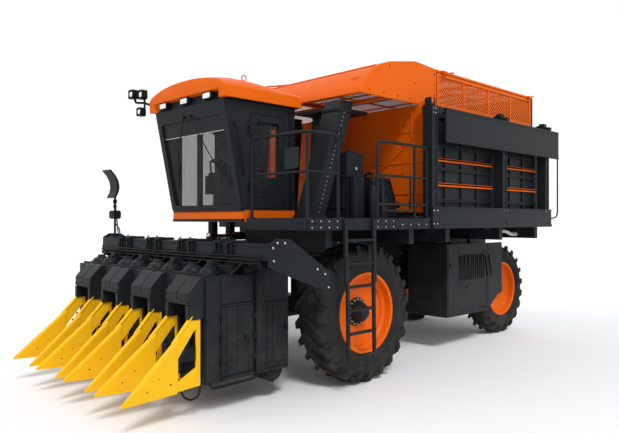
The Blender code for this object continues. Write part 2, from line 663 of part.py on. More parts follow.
def build_cab():
    """Floor with its bowed skirt, hollow wall frame, roof and the fixed panes."""
    bow = [(-CAB_HALF, CAB_REAR), (-CAB_HALF, CAB_FRONT)]
    for step in range(1, 8):
        across = -1 + step / 4
        bow.append((across * CAB_HALF, CAB_FRONT - 0.05 * (1 - across ** 2)))
    bow += [(CAB_HALF, CAB_FRONT), (CAB_HALF, CAB_REAR)]
    solid("cab_floor", "orange", [prism("Z", bow, CAB_FLOOR_BOTTOM, CAB_FLOOR_TOP)])

    low = CAB_FLOOR_TOP + GAP
    inner_half = CAB_HALF - CAB_WALL
    outer = prism("X", lean_outline(low, CAB_WALL_TOP, 0, CAB_REAR), -CAB_HALF, CAB_HALF)
    cuts = [prism("X", lean_outline(low - 0.1, CAB_WALL_TOP + 0.1, CAB_WALL, CAB_REAR - CAB_WALL),
                  -inner_half, inner_half)]
    screen_half = CAB_HALF - CAB_PILLAR
    screen = lean_outline(WINDOW_LOW, WINDOW_HIGH, -0.1, CAB_FRONT + 0.25)
    screen[1] = (cab_front_at(WINDOW_LOW) + CAB_WALL + 0.05, WINDOW_LOW)
    screen[2] = (cab_front_at(WINDOW_HIGH) + CAB_WALL + 0.05, WINDOW_HIGH)
    cuts.append(prism("X", screen, -screen_half, screen_half))
    doorway = box((CAB_HALF - CAB_WALL - 0.02, CAB_HALF + 0.1), (DOOR_HINGE_Y + 0.012, DOOR_REAR + 0.008),
                  (WINDOW_LOW - 0.025, WINDOW_HIGH + 0.02))
    cuts.append(doorway)
    side_window = box((-CAB_HALF - 0.1, -inner_half + 0.02), (SIDE_WINDOW_FRONT, SIDE_WINDOW_REAR),
                      (WINDOW_LOW, WINDOW_HIGH))
    cuts.append(side_window)
    cuts.append(box((-0.45, 0.45), (CAB_REAR - CAB_WALL - 0.02, CAB_REAR + 0.1), (2.60, WINDOW_HIGH)))
    ears = []
    for z in DOOR_HINGE_ZS:
        for end in (-1, 1):
            ear = sorted((z + end * (DOOR_EYE / 2 + MOVE_GAP), z + end * (DOOR_EYE / 2 + MOVE_GAP + 0.016)))
            ears.append(box((CAB_HALF - 0.02, DOOR_HINGE_X + 0.016), ranges(DOOR_HINGE_Y - 0.008, 0.034), ear))
        half_pin = DOOR_EYE / 2 + MOVE_GAP + 0.018
        ears.append(rod("Z", (DOOR_HINGE_X, DOOR_HINGE_Y, 0), z - half_pin, z + half_pin, DOOR_PIN_R * 0.8, 12))
    solid("cab_frame", "dark", [outer], cuts)
    frame = bpy.data.objects["cab_frame"]
    boolean(frame, ears, "UNION")

    pane_set = 0.02
    pane = [(cab_front_at(WINDOW_LOW + GAP) + pane_set, WINDOW_LOW + GAP),
            (cab_front_at(WINDOW_LOW + GAP) + pane_set + GLASS, WINDOW_LOW + GAP),
            (cab_front_at(WINDOW_HIGH - GAP) + pane_set + GLASS, WINDOW_HIGH - GAP),
            (cab_front_at(WINDOW_HIGH - GAP) + pane_set, WINDOW_HIGH - GAP)]
    solid("windscreen", "glass", [prism("X", pane, -screen_half + GAP, screen_half - GAP)])
    solid("side_glass", "glass", [box(ranges(-CAB_HALF + 0.025, GLASS),
                                      (SIDE_WINDOW_FRONT + GAP, SIDE_WINDOW_REAR - GAP),
                                      (WINDOW_LOW + GAP, WINDOW_HIGH - GAP))])


DOOR_HINGE_ZS = (2.45, 3.15)
DOOR_EYE = 0.06


def build_cab_door(pivot):
    """The left door, hung on its front edge, and the pane in it."""
    front = DOOR_HINGE_Y + 0.018
    low = WINDOW_LOW - 0.019
    high = WINDOW_HIGH + 0.014
    x = (CAB_HALF - 0.045, CAB_HALF - 0.003)
    shapes = [box(x, (front, DOOR_REAR), (low, high))]
    cuts = [box((x[0] - 0.1, x[1] + 0.1), (front + 0.055, DOOR_REAR - 0.055), (low + 0.07, high - 0.07))]
    for z in DOOR_HINGE_ZS:
        eye = ranges(z, DOOR_EYE)
        shapes.append(box((x[1] - 0.02, DOOR_HINGE_X + 0.014), (front + 0.004, front + 0.034), eye))
        shapes.append(box((DOOR_HINGE_X - 0.010, DOOR_HINGE_X + 0.014), (DOOR_HINGE_Y, front + 0.02), eye))
        shapes.append(rod("Z", (DOOR_HINGE_X, DOOR_HINGE_Y, 0), *eye, 0.0155))
        cuts.append(bore("Z", (DOOR_HINGE_X, DOOR_HINGE_Y, 0), eye[0] - 0.01, eye[1] + 0.01, DOOR_PIN_R * 0.8))
    solid("cab_door", "dark", shapes, cuts, pivot)
    solid("door_glass", "glass", [box(ranges(CAB_HALF - 0.025, GLASS),
                                      (front + 0.055 + GAP, DOOR_REAR - 0.055 - GAP),
                                      (low + 0.07 + GAP, high - 0.07 - GAP))], (), pivot)


def build_cab_roof():
    """A crowned orange roof with a deep brow; the lamps hang under the brow."""
    front = cab_front_at(CAB_WALL_TOP) - 0.09
    rear = CAB_REAR + 0.05
    half = CAB_HALF + ROOF_OVERHANG
    base = CAB_WALL_TOP + GAP
    across = 8
    along = 8
    bm = bmesh.new()
    top = []
    bottom = []
    for i in range(along + 1):
        v = i / along
        y = front + (rear - front) * v
        hump = math.sin(math.pi * min(1.0, 0.18 + 0.82 * v) ** 1.0) ** 0.8 if v < 1 else 0.0
        rows_top = []
        rows_bottom = []
        for j in range(across + 1):
            u = -1 + 2 * j / across
            crown = ROOF_CROWN * hump * (1 - abs(u) ** 2.5)
            rows_top.append(bm.verts.new((u * half, y, base + ROOF_SIDE + crown)))
            rows_bottom.append(bm.verts.new((u * half, y, base)))
        top.append(rows_top)
        bottom.append(rows_bottom)
    for i in range(along):
        for j in range(across):
            bm.faces.new((top[i][j], top[i][j + 1], top[i + 1][j + 1], top[i + 1][j]))
            bm.faces.new((bottom[i][j], bottom[i + 1][j], bottom[i + 1][j + 1], bottom[i][j + 1]))
    for i in range(along):
        bm.faces.new((top[i][0], top[i + 1][0], bottom[i + 1][0], bottom[i][0]))
        bm.faces.new((top[i][across], bottom[i][across], bottom[i + 1][across], top[i + 1][across]))
    for j in range(across):
        bm.faces.new((top[0][j], bottom[0][j], bottom[0][j + 1], top[0][j + 1]))
        bm.faces.new((top[along][j], top[along][j + 1], bottom[along][j + 1], bottom[along][j]))
    roof = finished(bm)
    solid("cab_roof", "orange", [roof])


def build_cab_inside():
    """Seat, cushion and steering console, each standing on the floor."""
    base = CAB_FLOOR_TOP + GAP
    seat_y = -1.76
    shapes = [box((-0.14, 0.14), ranges(seat_y, 0.30), (base, 2.50))]
    shapes.append(box((-0.25, 0.25), (seat_y - 0.24, seat_y + 0.22), (2.47, 2.53)))
    back = [(seat_y + 0.14, 2.50), (seat_y + 0.20, 2.50), (seat_y + 0.245, 3.10), (seat_y + 0.205, 3.10)]
    shapes.append(prism("X", back, -0.24, 0.24))
    solid("operator_seat", "dark", shapes)
    cushion = [(seat_y - 0.23, 2.53 + GAP), (seat_y + 0.13, 2.53 + GAP), (seat_y + 0.10, 2.64),
               (seat_y - 0.21, 2.64)]
    solid("seat_cushion", "fabric", [prism("X", cushion, -0.235, 0.235)])
    column = [(-2.14, base), (-2.02, base), (-2.02, 2.60), (-1.985, 2.86), (-2.025, 2.875), (-2.12, 2.62)]
    shapes = [prism("X", column, -0.07, 0.07)]
    ring = turned([(0.03 + 0.013 * math.sin(a), 0.17 + 0.013 * math.cos(a))
                   for a in [2 * math.pi * k / 6 for k in range(6)]], "Z", (0, 0, 0), 16)
    plate = rod("Z", (0, 0, 0), 0.008, 0.052, 0.05, 12)
    spokes = [bar((0, 0, 0.03), (0.172 * math.cos(a), 0.172 * math.sin(a), 0.03), 0.008, 6)
              for a in (math.radians(90), math.radians(202.5), math.radians(337.5))]
    tilt = Matrix.Translation((0, -2.01, 2.845)) @ Matrix.Rotation(math.radians(22), 4, "X")
    for bm in [ring, plate] + spokes:
        bmesh.ops.transform(bm, matrix=tilt, verts=bm.verts)
        shapes.append(bm)
    solid("steering_console", "dark", shapes)


def build_light_bar():
    """Three lamps on a bent bracket at the roof's front right corner."""
    half = CAB_HALF + ROOF_OVERHANG
    x = -half - GAP
    y = cab_front_at(CAB_WALL_TOP) - 0.02
    z = CAB_WALL_TOP + 0.10
    shapes = [box((x - 0.05, x), ranges(y + 0.05, 0.16), ranges(z, 0.12))]
    shapes += pipe([(x - 0.03, y + 0.04, z), (x - 0.12, y - 0.04, z + 0.06), (x - 0.30, y - 0.10, z + 0.08)], 0.022)
    for at, size in (((x - 0.13, y - 0.06, z + 0.17), 0.13), ((x - 0.30, y - 0.11, z + 0.19), 0.13),
                     ((x - 0.13, y - 0.08, z - 0.07), 0.12)):
        shapes.append(box(ranges(at[0], size), ranges(at[1], 0.09), ranges(at[2], size)))
    shapes += [bar((x - 0.13, y - 0.05, z - 0.05), (x - 0.13, y - 0.05, z + 0.15), 0.016)]
    shapes += [bar((x - 0.29, y - 0.10, z + 0.07), (x - 0.29, y - 0.10, z + 0.15), 0.016)]
    solid("light_bar", "dark", shapes)


# ------------------------------------------------------------ rails and steps
RAIL_TUBE = 0.019
GUARD_X = DECK_HALF - 0.04
GUARD_TOP = 3.02
LADDER_FRONT = -1.70
LADDER_REAR = -1.20


def post_line(points, heights, base):
    """A guard rail: a post at each point, tubes between them at each height."""
    shapes = []
    for x, y in points:
        shapes.append(bar((x, y, base), (x, y, heights[0]), RAIL_TUBE))
    for height in heights:
        for (x0, y0), (x1, y1) in zip(points, points[1:]):
            shapes.append(bar((x0, y0, height), (x1, y1, height), RAIL_TUBE * 0.9))
    for x, y in points:
        bm = bmesh.new()
        bmesh.ops.create_icosphere(bm, subdivisions=1, radius=RAIL_TUBE * 1.25)
        bmesh.ops.translate(bm, verts=bm.verts, vec=(x, y, heights[0]))
        shapes.append(bm)
    return shapes


def build_guard_rails():
    """The rails round the deck's wing, with a gap where the ladder comes up."""
    base = DECK_TOP + GAP
    front_y = DECK_FRONT + 0.03
    front = [(DECK_WING_X + 0.07, front_y), (GUARD_X, front_y), (GUARD_X, LADDER_FRONT - 0.06)]
    solid("handrail_front", "dark", post_line(front, (GUARD_TOP, 2.58), base))
    rear = [(GUARD_X, LADDER_REAR + 0.14), (GUARD_X, -0.30), (GUARD_X, DECK_REAR - 0.03)]
    solid("handrail_rear", "dark", post_line(rear, (GUARD_TOP, 2.60, 2.24), base))


def build_ladder():
    """Two stiles and six rungs hung on the deck's outer edge."""
    shapes = []
    top = DECK_TOP - 0.01
    bottom = 0.40
    x_top = DECK_HALF + GAP + 0.017
    x_low = WIDTH / 2 - 0.02
    for y in (LADDER_FRONT, LADDER_REAR):
        side = [(x_top - 0.017, top), (x_top + 0.017, top), (x_low + 0.017, bottom), (x_low - 0.017, bottom)]
        shapes.append(prism("Y", side, *ranges(y, 0.05)))
    for number in range(6):
        z = bottom + 0.06 + 0.27 * number
        share = (z - bottom) / (top - bottom)
        x = x_low + (x_top - x_low) * share
        shapes.append(box(ranges(x, 0.03), (LADDER_FRONT, LADDER_REAR), ranges(z, 0.035)))
    solid("ladder", "dark", shapes)


# ================================================================= the header
def row_places():
    """X of each row, from the machine's right to its left."""
    return [(number - (ROWS - 1) / 2) * ROW_SPACING for number in range(ROWS)]


def build_toolbar(pivot):
    """The cross beam with its hangers, end plates and lift arms."""
    y = ranges(TOOLBAR_Y, TOOLBAR_DEPTH)
    shapes = [box((-TOOLBAR_HALF, TOOLBAR_HALF), y, (TOOLBAR_TOP - TOOLBAR_HEIGHT, TOOLBAR_TOP))]
    under = TOOLBAR_TOP - TOOLBAR_HEIGHT
    for row in row_places():
        for x in (row - 0.13, row + 0.09):
            shapes.append(box(ranges(x, 0.05), (y[0] - 0.02, y[1] - 0.01), (UNIT_TOP + GAP, under + 0.04)))
    plate = [(-2.82, 1.56), (-2.80, 1.80), (-2.71, 1.85), (-2.52, 1.84), (-1.92, 1.46), (-1.90, 1.22), (-2.74, 1.52)]
    for side in (-1, 1):
        x = sorted((side * (TOOLBAR_HALF - 0.005), side * (TOOLBAR_HALF + END_PLATE)))
        shapes.append(prism("X", plate, x[0], x[1]))
    pivot_y = HEADER_PIVOT.y
    pivot_z = HEADER_PIVOT.z
    arm = [(y[1] - 0.02, under + 0.01), (y[1] - 0.02, TOOLBAR_TOP - 0.01), (y[1] + 0.10, TOOLBAR_TOP - 0.02),
           (UNIT_REAR - 0.06, TOOLBAR_TOP - 0.06), (pivot_y + 0.02, pivot_z + 0.06),
           (pivot_y + 0.02, pivot_z - 0.06), (pivot_y - 0.08, pivot_z - 0.06),
           (UNIT_REAR + 0.09, UNIT_TOP + 0.03), (UNIT_REAR - 0.02, UNIT_TOP + 0.10)]
    cuts = []
    for side in (-1, 1):
        x = ranges(side * HEADER_ARM_X, HEADER_ARM)
        shapes.append(prism("X", arm, x[0], x[1]))
        shapes.append(rod("X", HEADER_PIVOT, x[0], x[1], PIVOT_PIN_R + 0.035))
        cuts.append(bore("X", HEADER_PIVOT, x[0] - 0.01, x[1] + 0.01, PIVOT_PIN_R))
    head_y = CYLINDER_HEAD.y
    head_z = CYLINDER_HEAD.z
    shapes.append(box((-HEADER_ARM_X, HEADER_ARM_X), ranges(head_y - 0.02, 0.10), (head_z - 0.18, head_z - 0.09)))
    inner = CYLINDER_WIDTH / 2 + MOVE_GAP
    head = [(head_y - 0.06, head_z - 0.10), (head_y + 0.03, head_z - 0.10), (head_y + 0.045, head_z + 0.045),
            (head_y - 0.045, head_z + 0.045)]
    for side in (-1, 1):
        x = sorted((side * inner, side * (inner + 0.022)))
        shapes.append(prism("X", head, x[0], x[1]))
    shapes.append(rod("X", CYLINDER_HEAD, -inner - 0.03, inner + 0.03, CYLINDER_PIN_R))
    solid("toolbar", "dark", shapes, cuts, pivot)


def build_row_unit(number, row, pivot):
    """A picking unit: drum cabinet, open throat, outer plate and slanted hood."""
    x = (row - UNIT_CABINET, row + UNIT_SKIN)
    y = (UNIT_FRONT, UNIT_REAR)
    shapes = [box(x, y, (UNIT_BOTTOM, UNIT_TOP))]
    hood = [(UNIT_FRONT + 0.02, UNIT_TOP - 0.01), (UNIT_FRONT - 0.04, UNIT_TOP - 0.02),
            (HOOD_FRONT, 1.27), (HOOD_FRONT, 1.19), (UNIT_FRONT + 0.02, 1.17)]
    shapes.append(prism("X", hood, row - 0.215, row + 0.215))
    throat = box(ranges(row, 2 * UNIT_THROAT), (y[0] - 0.5, y[1] + 0.1), (UNIT_BOTTOM - 0.1, UNIT_THROAT_TOP))
    cabinet = box((x[0] + UNIT_SHEET, row - UNIT_THROAT - UNIT_SHEET), (y[0] + UNIT_SHEET, y[1] - UNIT_SHEET),
                  (UNIT_BOTTOM - 0.1, UNIT_TOP - UNIT_SHEET))
    solid("row_unit_%d" % number, "dark", shapes, [throat, cabinet], pivot)


def divider_plate(row, side):
    """One wedge-shaped point beside a throat, leaning towards it at the back."""
    outline = [(TIP_Y, DIVIDER_TIP_Z), (TIP_Y + 0.012, DIVIDER_TIP_Z + 0.035), (-3.585, 0.835),
               (-3.55, 0.865), (DIVIDER_TOP_Y - 0.03, DIVIDER_TOP_Z), (DIVIDER_TOP_Y, DIVIDER_TOP_Z - 0.02),
               (DIVIDER_TOP_Y, 0.33), (DIVIDER_TOP_Y - 0.25, DIVIDER_TIP_Z)]
    window = [(DIVIDER_TOP_Y - 0.26, 0.42), (DIVIDER_TOP_Y - 0.045, 0.52), (DIVIDER_TOP_Y - 0.045, 0.93),
              (DIVIDER_TOP_Y - 0.26, 0.68)]
    rate = side * (DIVIDER_TOP_X - DIVIDER_TIP_X) / (DIVIDER_TOP_Y - TIP_Y)
    x = row + side * DIVIDER_TOP_X
    low, high = sorted((x, x + side * DIVIDER_SHEET))
    plate = sheared(prism("X", outline, low, high), rate, DIVIDER_TOP_Y)
    cut = sheared(prism("X", window, low - 0.05, high + 0.05), rate, DIVIDER_TOP_Y)
    return plate, cut, (low, high)


def build_dividers(pivot):
    """Five pointed dividers: one outside each end row, a pair between two rows."""
    rows = row_places()
    tie_y = (DIVIDER_TOP_Y - 0.035, UNIT_FRONT - GAP)
    groups = [[(rows[0], -1)]]
    groups += [[(left, 1), (right, -1)] for left, right in zip(rows, rows[1:])]
    groups += [[(rows[-1], 1)]]
    for number, members in enumerate(groups):
        shapes = []
        cuts = []
        edges = []
        for row, side in members:
            plate, cut, edge = divider_plate(row, side)
            shapes.append(plate)
            cuts.append(cut)
            edges += edge
        x = (min(edges) + 0.004, max(edges) - 0.004)
        for z in ((0.36, 0.44), (0.98, 1.06)):
            shapes.append(box(x, tie_y, z))
        solid("divider_%d" % (number + 1), "yellow", shapes, cuts, pivot)


def build_mirror(pivot):
    """A mirror and its small box on a braced post at the beam's right end."""
    x = -1.66
    y = TOOLBAR_Y
    base = TOOLBAR_TOP + GAP
    shapes = [box(ranges(x, 0.14), ranges(y, 0.12), (base, base + 0.02))]
    shapes += pipe([(x, y, base + 0.01), (x, y, 2.46)], 0.017)
    shapes += pipe([(x + 0.05, y + 0.03, base + 0.01), (x, y, 2.32)], 0.010)
    shapes.append(box(ranges(x, 0.13), ranges(y + 0.005, 0.09), (2.06, 2.18)))
    curve = []
    for step in range(6):
        lift = step / 5
        curve.append((y - 0.02 - 0.10 * (2 * lift - 0.8) ** 2 * 0.9, 2.36 + 0.40 * lift))
    outline = curve + [(a + 0.035, b) for a, b in reversed(curve)]
    shapes.append(prism("X", outline, x - 0.11, x + 0.11))
    solid("mirror", "dark", shapes, (), pivot)


# ------------------------------------------------------------- lift cylinder
def build_cylinder(barrel_pivot, rod_pivot):
    """The header's lift cylinder: a barrel on the frame and the rod that leaves it."""
    along = (CYLINDER_HEAD - CYLINDER_FOOT).normalized()
    foot = CYLINDER_FOOT
    head = CYLINDER_HEAD
    eye = ranges(0.0, CYLINDER_WIDTH)
    barrel_end = foot + along * 0.60
    shapes = [bar(foot + along * CYLINDER_NECK, barrel_end, CYLINDER_R, 16)]
    shapes.append(bar(foot + along * 0.02, foot + along * (CYLINDER_NECK + 0.02), CYLINDER_WIDTH / 2 - 0.004, 12))
    shapes.append(rod("X", foot, *eye, CYLINDER_PIN_R + 0.028))
    hollow = bar(foot + along * (CYLINDER_NECK + 0.04), barrel_end + along * 0.05, CYLINDER_ROD_R + 0.0006, 16)
    cuts = [hollow, bore("X", foot, -0.1, 0.1, CYLINDER_PIN_R)]
    solid("cylinder_barrel", "dark", shapes, cuts, barrel_pivot)
    shapes = [bar(foot + along * 0.30, head - along * 0.02, CYLINDER_ROD_R, 16)]
    shapes.append(rod("X", head, *eye, CYLINDER_PIN_R + 0.040))
    slot = [bore("X", head, -0.1, 0.1, CYLINDER_PIN_R + 0.010)]
    solid("cylinder_rod", "steel", shapes, slot, rod_pivot)


# ================================================================= the basket
def build_basket(pivot):
    """Floor, four walls, front hood and screened roof, each its own panel."""
    wall = BASKET_WALL
    front = BASKET_FRONT
    rear = BASKET_REAR
    half = BASKET_HALF
    floor_top = BASKET_FLOOR + wall
    inside = half - wall
    solid("basket_floor", "dark", [box((-half, half), (front, rear), (BASKET_FLOOR, floor_top))], (), pivot)

    z = (floor_top + GAP, BASKET_SHOULDER)
    step = [(inside, z[0]), (half, z[0]), (half, z[1]), (BASKET_UPPER_HALF - UPPER_WALL, z[1]),
            (BASKET_UPPER_HALF - UPPER_WALL, z[1] - 0.04), (inside, z[1] - 0.04)]
    y = (front + wall + GAP, rear - wall - GAP)
    left = [prism("Y", step, y[0], y[1])]
    left.append(box((BASKET_UPPER_HALF - UPPER_WALL, BASKET_UPPER_HALF), (HOOD_REAR + 0.01, y[1]),
                    (BASKET_SHOULDER - 0.02, SCREEN_SILL)))
    front_wall = [box((-half, half), (front, front + wall), z)]
    front_wall.append(box((half - 0.03, half), (MASTS[0] - LUG / 2, front + 0.01), (z[1] - 0.16, z[1])))
    for carrier, middles in ((front_wall, MASTS[:1]), (left, MASTS[1:])):
        cuts = []
        for middle in middles:
            span = ranges(middle, LUG)
            lug = [(half - 0.03, z[1] - 0.16), (half + 0.01, z[1] - 0.045), (BASKET_PIVOT.x, BASKET_PIVOT.z - 0.045),
                   (BASKET_PIVOT.x, BASKET_PIVOT.z + 0.045), (half - 0.03, z[1])]
            carrier.append(prism("Y", lug, *span))
            carrier.append(rod("Y", BASKET_PIVOT, *span, BASKET_PIN_R + 0.022))
            cuts.append(bore("Y", BASKET_PIVOT, span[0] - 0.01, span[1] + 0.01, BASKET_PIN_R))
        if carrier is left:
            solid("basket_left_wall", "dark", left, cuts, pivot)
        else:
            solid("basket_front_wall", "orange", front_wall, cuts, pivot)
    solid("basket_right_wall", "dark", mirrored([prism("Y", step, y[0], y[1])]), (), pivot)

    upper = BASKET_UPPER_HALF
    outline = [(-half, z[0]), (half, z[0]), (half, z[1]), (upper, z[1]), (upper, BASKET_TOP - UPPER_WALL - GAP),
               (-upper, BASKET_TOP - UPPER_WALL - GAP), (-upper, z[1]), (-half, z[1])]
    solid("basket_rear_wall", "dark", [prism("Y", outline, rear - wall, rear)], (), pivot)

    profile = [(-1.046, 3.672), (-0.925, 3.865), (-0.76, 4.03), (-0.471, 4.159), (0.128, BASKET_TOP + 0.03),
               (HOOD_REAR, BASKET_TOP), (HOOD_REAR, BASKET_SHOULDER + GAP), (-1.046, BASKET_SHOULDER + GAP)]
    inner_profile = [(-0.99, BASKET_SHOULDER - 0.1), (-0.99, 3.68), (-0.89, 3.84), (-0.74, 3.99), (-0.46, 4.12),
                     (0.128, BASKET_TOP - 0.01), (HOOD_REAR + 0.1, BASKET_TOP - 0.04),
                     (HOOD_REAR + 0.1, BASKET_SHOULDER - 0.1)]
    hood = [prism("X", profile, -upper, upper)]
    solid("basket_hood", "orange", hood, [prism("X", inner_profile, -upper + UPPER_WALL, upper - UPPER_WALL)], pivot)

    roof = [box((-upper, upper), (HOOD_REAR + GAP, rear), (BASKET_TOP - UPPER_WALL, BASKET_TOP))]
    roof.append(box((-upper, -upper + UPPER_WALL), (HOOD_REAR + GAP, rear - wall - GAP),
                    (BASKET_SHOULDER + GAP, BASKET_TOP - 0.01)))
    for middle in SCREEN_HINGES:
        for end in (-1, 1):
            slot = SCREEN_EYE / 2 + MOVE_GAP
            ear = sorted((middle + end * slot, middle + end * (slot + 0.02)))
            roof.append(box((upper - 0.02, DOOR_AXIS.x + 0.018), ear, (DOOR_AXIS.z - 0.018, BASKET_TOP - 0.004)))
        half_pin = SCREEN_EYE / 2 + MOVE_GAP + 0.022
        roof.append(rod("Y", DOOR_AXIS, middle - half_pin, middle + half_pin, SCREEN_PIN_R, 12))
    solid("basket_roof", "orange", roof, (), pivot)


SCREEN_SILL = 3.69          # top of the sill under the screened door
SCREEN_HINGES = (0.80, 3.45)
SCREEN_EYE = 0.06
SCREEN_PIN_R = 0.009


def build_screen_door(pivot):
    """The screened door along the basket's upper left side, hung on its top edge."""
    upper = BASKET_UPPER_HALF
    x = (upper - UPPER_WALL, upper)
    y = (HOOD_REAR + 0.02, BASKET_REAR - BASKET_WALL - 0.012)
    z = (SCREEN_SILL + 0.010, BASKET_TOP - UPPER_WALL - 0.010)
    shapes = [box(x, y, z)]
    cuts = []
    for middle in SCREEN_HINGES:
        span = ranges(middle, SCREEN_EYE)
        eye = [(upper - 0.012, z[1] - 0.03), (upper + 0.020, z[1] - 0.03), (DOOR_AXIS.x + 0.018, DOOR_AXIS.z),
               (DOOR_AXIS.x + 0.014, DOOR_AXIS.z + 0.017), (DOOR_AXIS.x - 0.014, DOOR_AXIS.z + 0.017),
               (DOOR_AXIS.x - 0.018, DOOR_AXIS.z - 0.004), (upper - 0.012, z[1] - 0.004)]
        shapes.append(prism("Y", eye, *span))
        cuts.append(bore("Y", DOOR_AXIS, span[0] - 0.01, span[1] + 0.01, SCREEN_PIN_R))
    solid("screen_door", "orange", shapes, cuts, pivot)


# ======================================================================= main
def clear_scene():
    for item in list(bpy.data.objects):
        bpy.data.objects.remove(item, do_unlink=True)


def build():
    clear_scene()
    build_main_frame()
    build_front_axle()
    build_rear_axle()
    build_engine()
    build_deck()
    build_deck_machinery()
    build_side_box("side_box_left", 1)
    build_side_box("side_box_right", -1)
    build_mast_frames()
    build_ducts()
    build_cab()
    build_cab_roof()
    build_cab_inside()
    build_light_bar()
    build_guard_rails()
    build_ladder()
    build_cab_door(pivot_empty("pivot_cab_door", (DOOR_HINGE_X, DOOR_HINGE_Y, CAB_FLOOR_TOP)))
    build_lip(pivot_empty("pivot_lip", LIP_AXIS))

    header = pivot_empty("pivot_header", HEADER_PIVOT)
    build_toolbar(header)
    for number, row in enumerate(row_places()):
        build_row_unit(number + 1, row, header)
    build_dividers(header)
    build_mirror(header)
    build_cylinder(pivot_empty("pivot_barrel", CYLINDER_FOOT), pivot_empty("pivot_rod", CYLINDER_HEAD))

    basket = pivot_empty("pivot_basket", BASKET_PIVOT)
    build_basket(basket)
    build_screen_door(pivot_empty("pivot_screen_door", DOOR_AXIS, basket))

    front_sizes = (FRONT_TYRE_R, FRONT_TYRE_W, FRONT_RIM_W, FRONT_FLANGE_R, FRONT_SPINDLE_R)
    rear_sizes = (REAR_TYRE_R, REAR_TYRE_W, REAR_RIM_W, REAR_FLANGE_R, REAR_SPINDLE_R)
    for name, side in (("left", 1), ("right", -1)):
        place = (side * FRONT_WHEEL_X, FRONT_AXLE_Y, FRONT_TYRE_R)
        wheel = pivot_empty("pivot_wheel_front_" + name, place)
        build_wheel("front_" + name, side, FRONT_WHEEL_X, FRONT_AXLE_Y, front_sizes, wheel)
        steer = pivot_empty("pivot_steer_" + name, (side * KINGPIN_X, REAR_AXLE_Y, REAR_TYRE_R))
        build_knuckle("knuckle_" + name, side, steer)
        place = (side * REAR_WHEEL_X, REAR_AXLE_Y, REAR_TYRE_R)
        wheel = pivot_empty("pivot_wheel_rear_" + name, place, steer)
        build_wheel("rear_" + name, side, REAR_WHEEL_X, REAR_AXLE_Y, rear_sizes, wheel)


build()
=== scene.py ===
"""Four-row cotton picker: finishes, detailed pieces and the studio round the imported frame.

Metres, +Z up.  The machine faces -Y and +X is its left side.
"""
import math

import bmesh
import bpy
import numpy as np
from bpy.props import FloatProperty, FloatVectorProperty
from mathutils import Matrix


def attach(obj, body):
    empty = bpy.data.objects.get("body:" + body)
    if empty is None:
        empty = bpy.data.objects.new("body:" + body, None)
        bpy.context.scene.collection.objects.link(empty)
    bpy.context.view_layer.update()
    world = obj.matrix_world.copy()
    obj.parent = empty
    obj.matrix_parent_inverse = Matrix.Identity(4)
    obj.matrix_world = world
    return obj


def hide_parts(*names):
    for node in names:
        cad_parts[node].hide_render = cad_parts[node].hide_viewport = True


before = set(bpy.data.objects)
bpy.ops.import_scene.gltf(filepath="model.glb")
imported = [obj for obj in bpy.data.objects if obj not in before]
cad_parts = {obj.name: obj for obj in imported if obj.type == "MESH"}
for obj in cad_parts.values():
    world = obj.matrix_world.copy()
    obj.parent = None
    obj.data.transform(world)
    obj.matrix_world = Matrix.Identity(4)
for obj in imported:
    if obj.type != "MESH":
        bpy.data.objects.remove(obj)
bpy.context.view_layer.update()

bl_info = {
    "name": "Cotton Picker Looks",
    "version": (1, 0, 0),
    "blender": (4, 5, 0),
    "location": "View3D > Sidebar > Picker",
    "description": "Finishes, detail pieces and studio for a four-row cotton picker",
    "category": "Object",
}


# ============================================================ places
LEFT_MASTS = (0.10, 2.00, 3.47)      # y of the posts that carry the basket's left side
TIP_PIN = (1.83, 3.665)              # x, z of the line the basket tips about
SCREEN_HINGES = (0.80, 3.45)         # y of the screen door's hinges
SCREEN_PIN = (1.603, 4.212)          # x, z of their pins
DOOR_HINGES = (2.45, 3.15)           # z of the cab door's hinges
DUCTS = ((1.14, -1.52, -0.97), (0.38, -0.58, -0.46), (-0.38, -0.58, -0.46), (-1.14, -0.58, -0.46))  # x, y low, y high
LADDER_STILES = (-1.70, -1.20)       # y of the ladder's two sides
MIRROR_X = -1.66


# ============================================================ properties
def colour_property(label, value, description):
    return FloatVectorProperty(name=label, subtype="COLOR", size=3, min=0.0, max=1.0,
                               default=value, description=description)


class PICKER_PG_finish(bpy.types.PropertyGroup):
    """Colours of the machine's finishes."""
    orange: colour_property("Orange paint", (0.76, 0.122, 0.003), "Paint of the basket, roof and rims")
    dark: colour_property("Dark paint", (0.0135, 0.0165, 0.0185), "Paint of the frame and panels")
    yellow: colour_property("Yellow paint", (0.90, 0.50, 0.008), "Paint of the row dividers")
    rubber: colour_property("Rubber", (0.018, 0.018, 0.018), "Tyre rubber")


class PICKER_PG_sizes(bpy.types.PropertyGroup):
    """Sizes of the added details."""
    lug_height: FloatProperty(name="Lug height", default=0.038, min=0.01, max=0.06, unit="LENGTH",
                              description="Height of the tyre lugs")


# ============================================================ node groups
def new_group(name, inputs, outputs):
    """An empty shader node group with the named (name, kind, default) sockets."""
    group = bpy.data.node_groups.new(name, "ShaderNodeTree")
    for label, kind, value in inputs:
        socket = group.interface.new_socket(label, in_out="INPUT", socket_type=kind)
        if value is not None:
            socket.default_value = value
    for label, kind in outputs:
        group.interface.new_socket(label, in_out="OUTPUT", socket_type=kind)
    return group, group.nodes.new("NodeGroupInput"), group.nodes.new("NodeGroupOutput")


def math_node(tree, operation, a, b=None, clamp=False):
    """One Math node; a and b are sockets or numbers."""
    node = tree.nodes.new("ShaderNodeMath")
    node.operation = operation
    node.use_clamp = clamp
    for index, value in enumerate((a, b)):
        if value is None:
            continue
        if isinstance(value, (int, float)):
            node.inputs[index].default_value = value
        else:
            tree.links.new(value, node.inputs[index])
    return node.outputs[0]


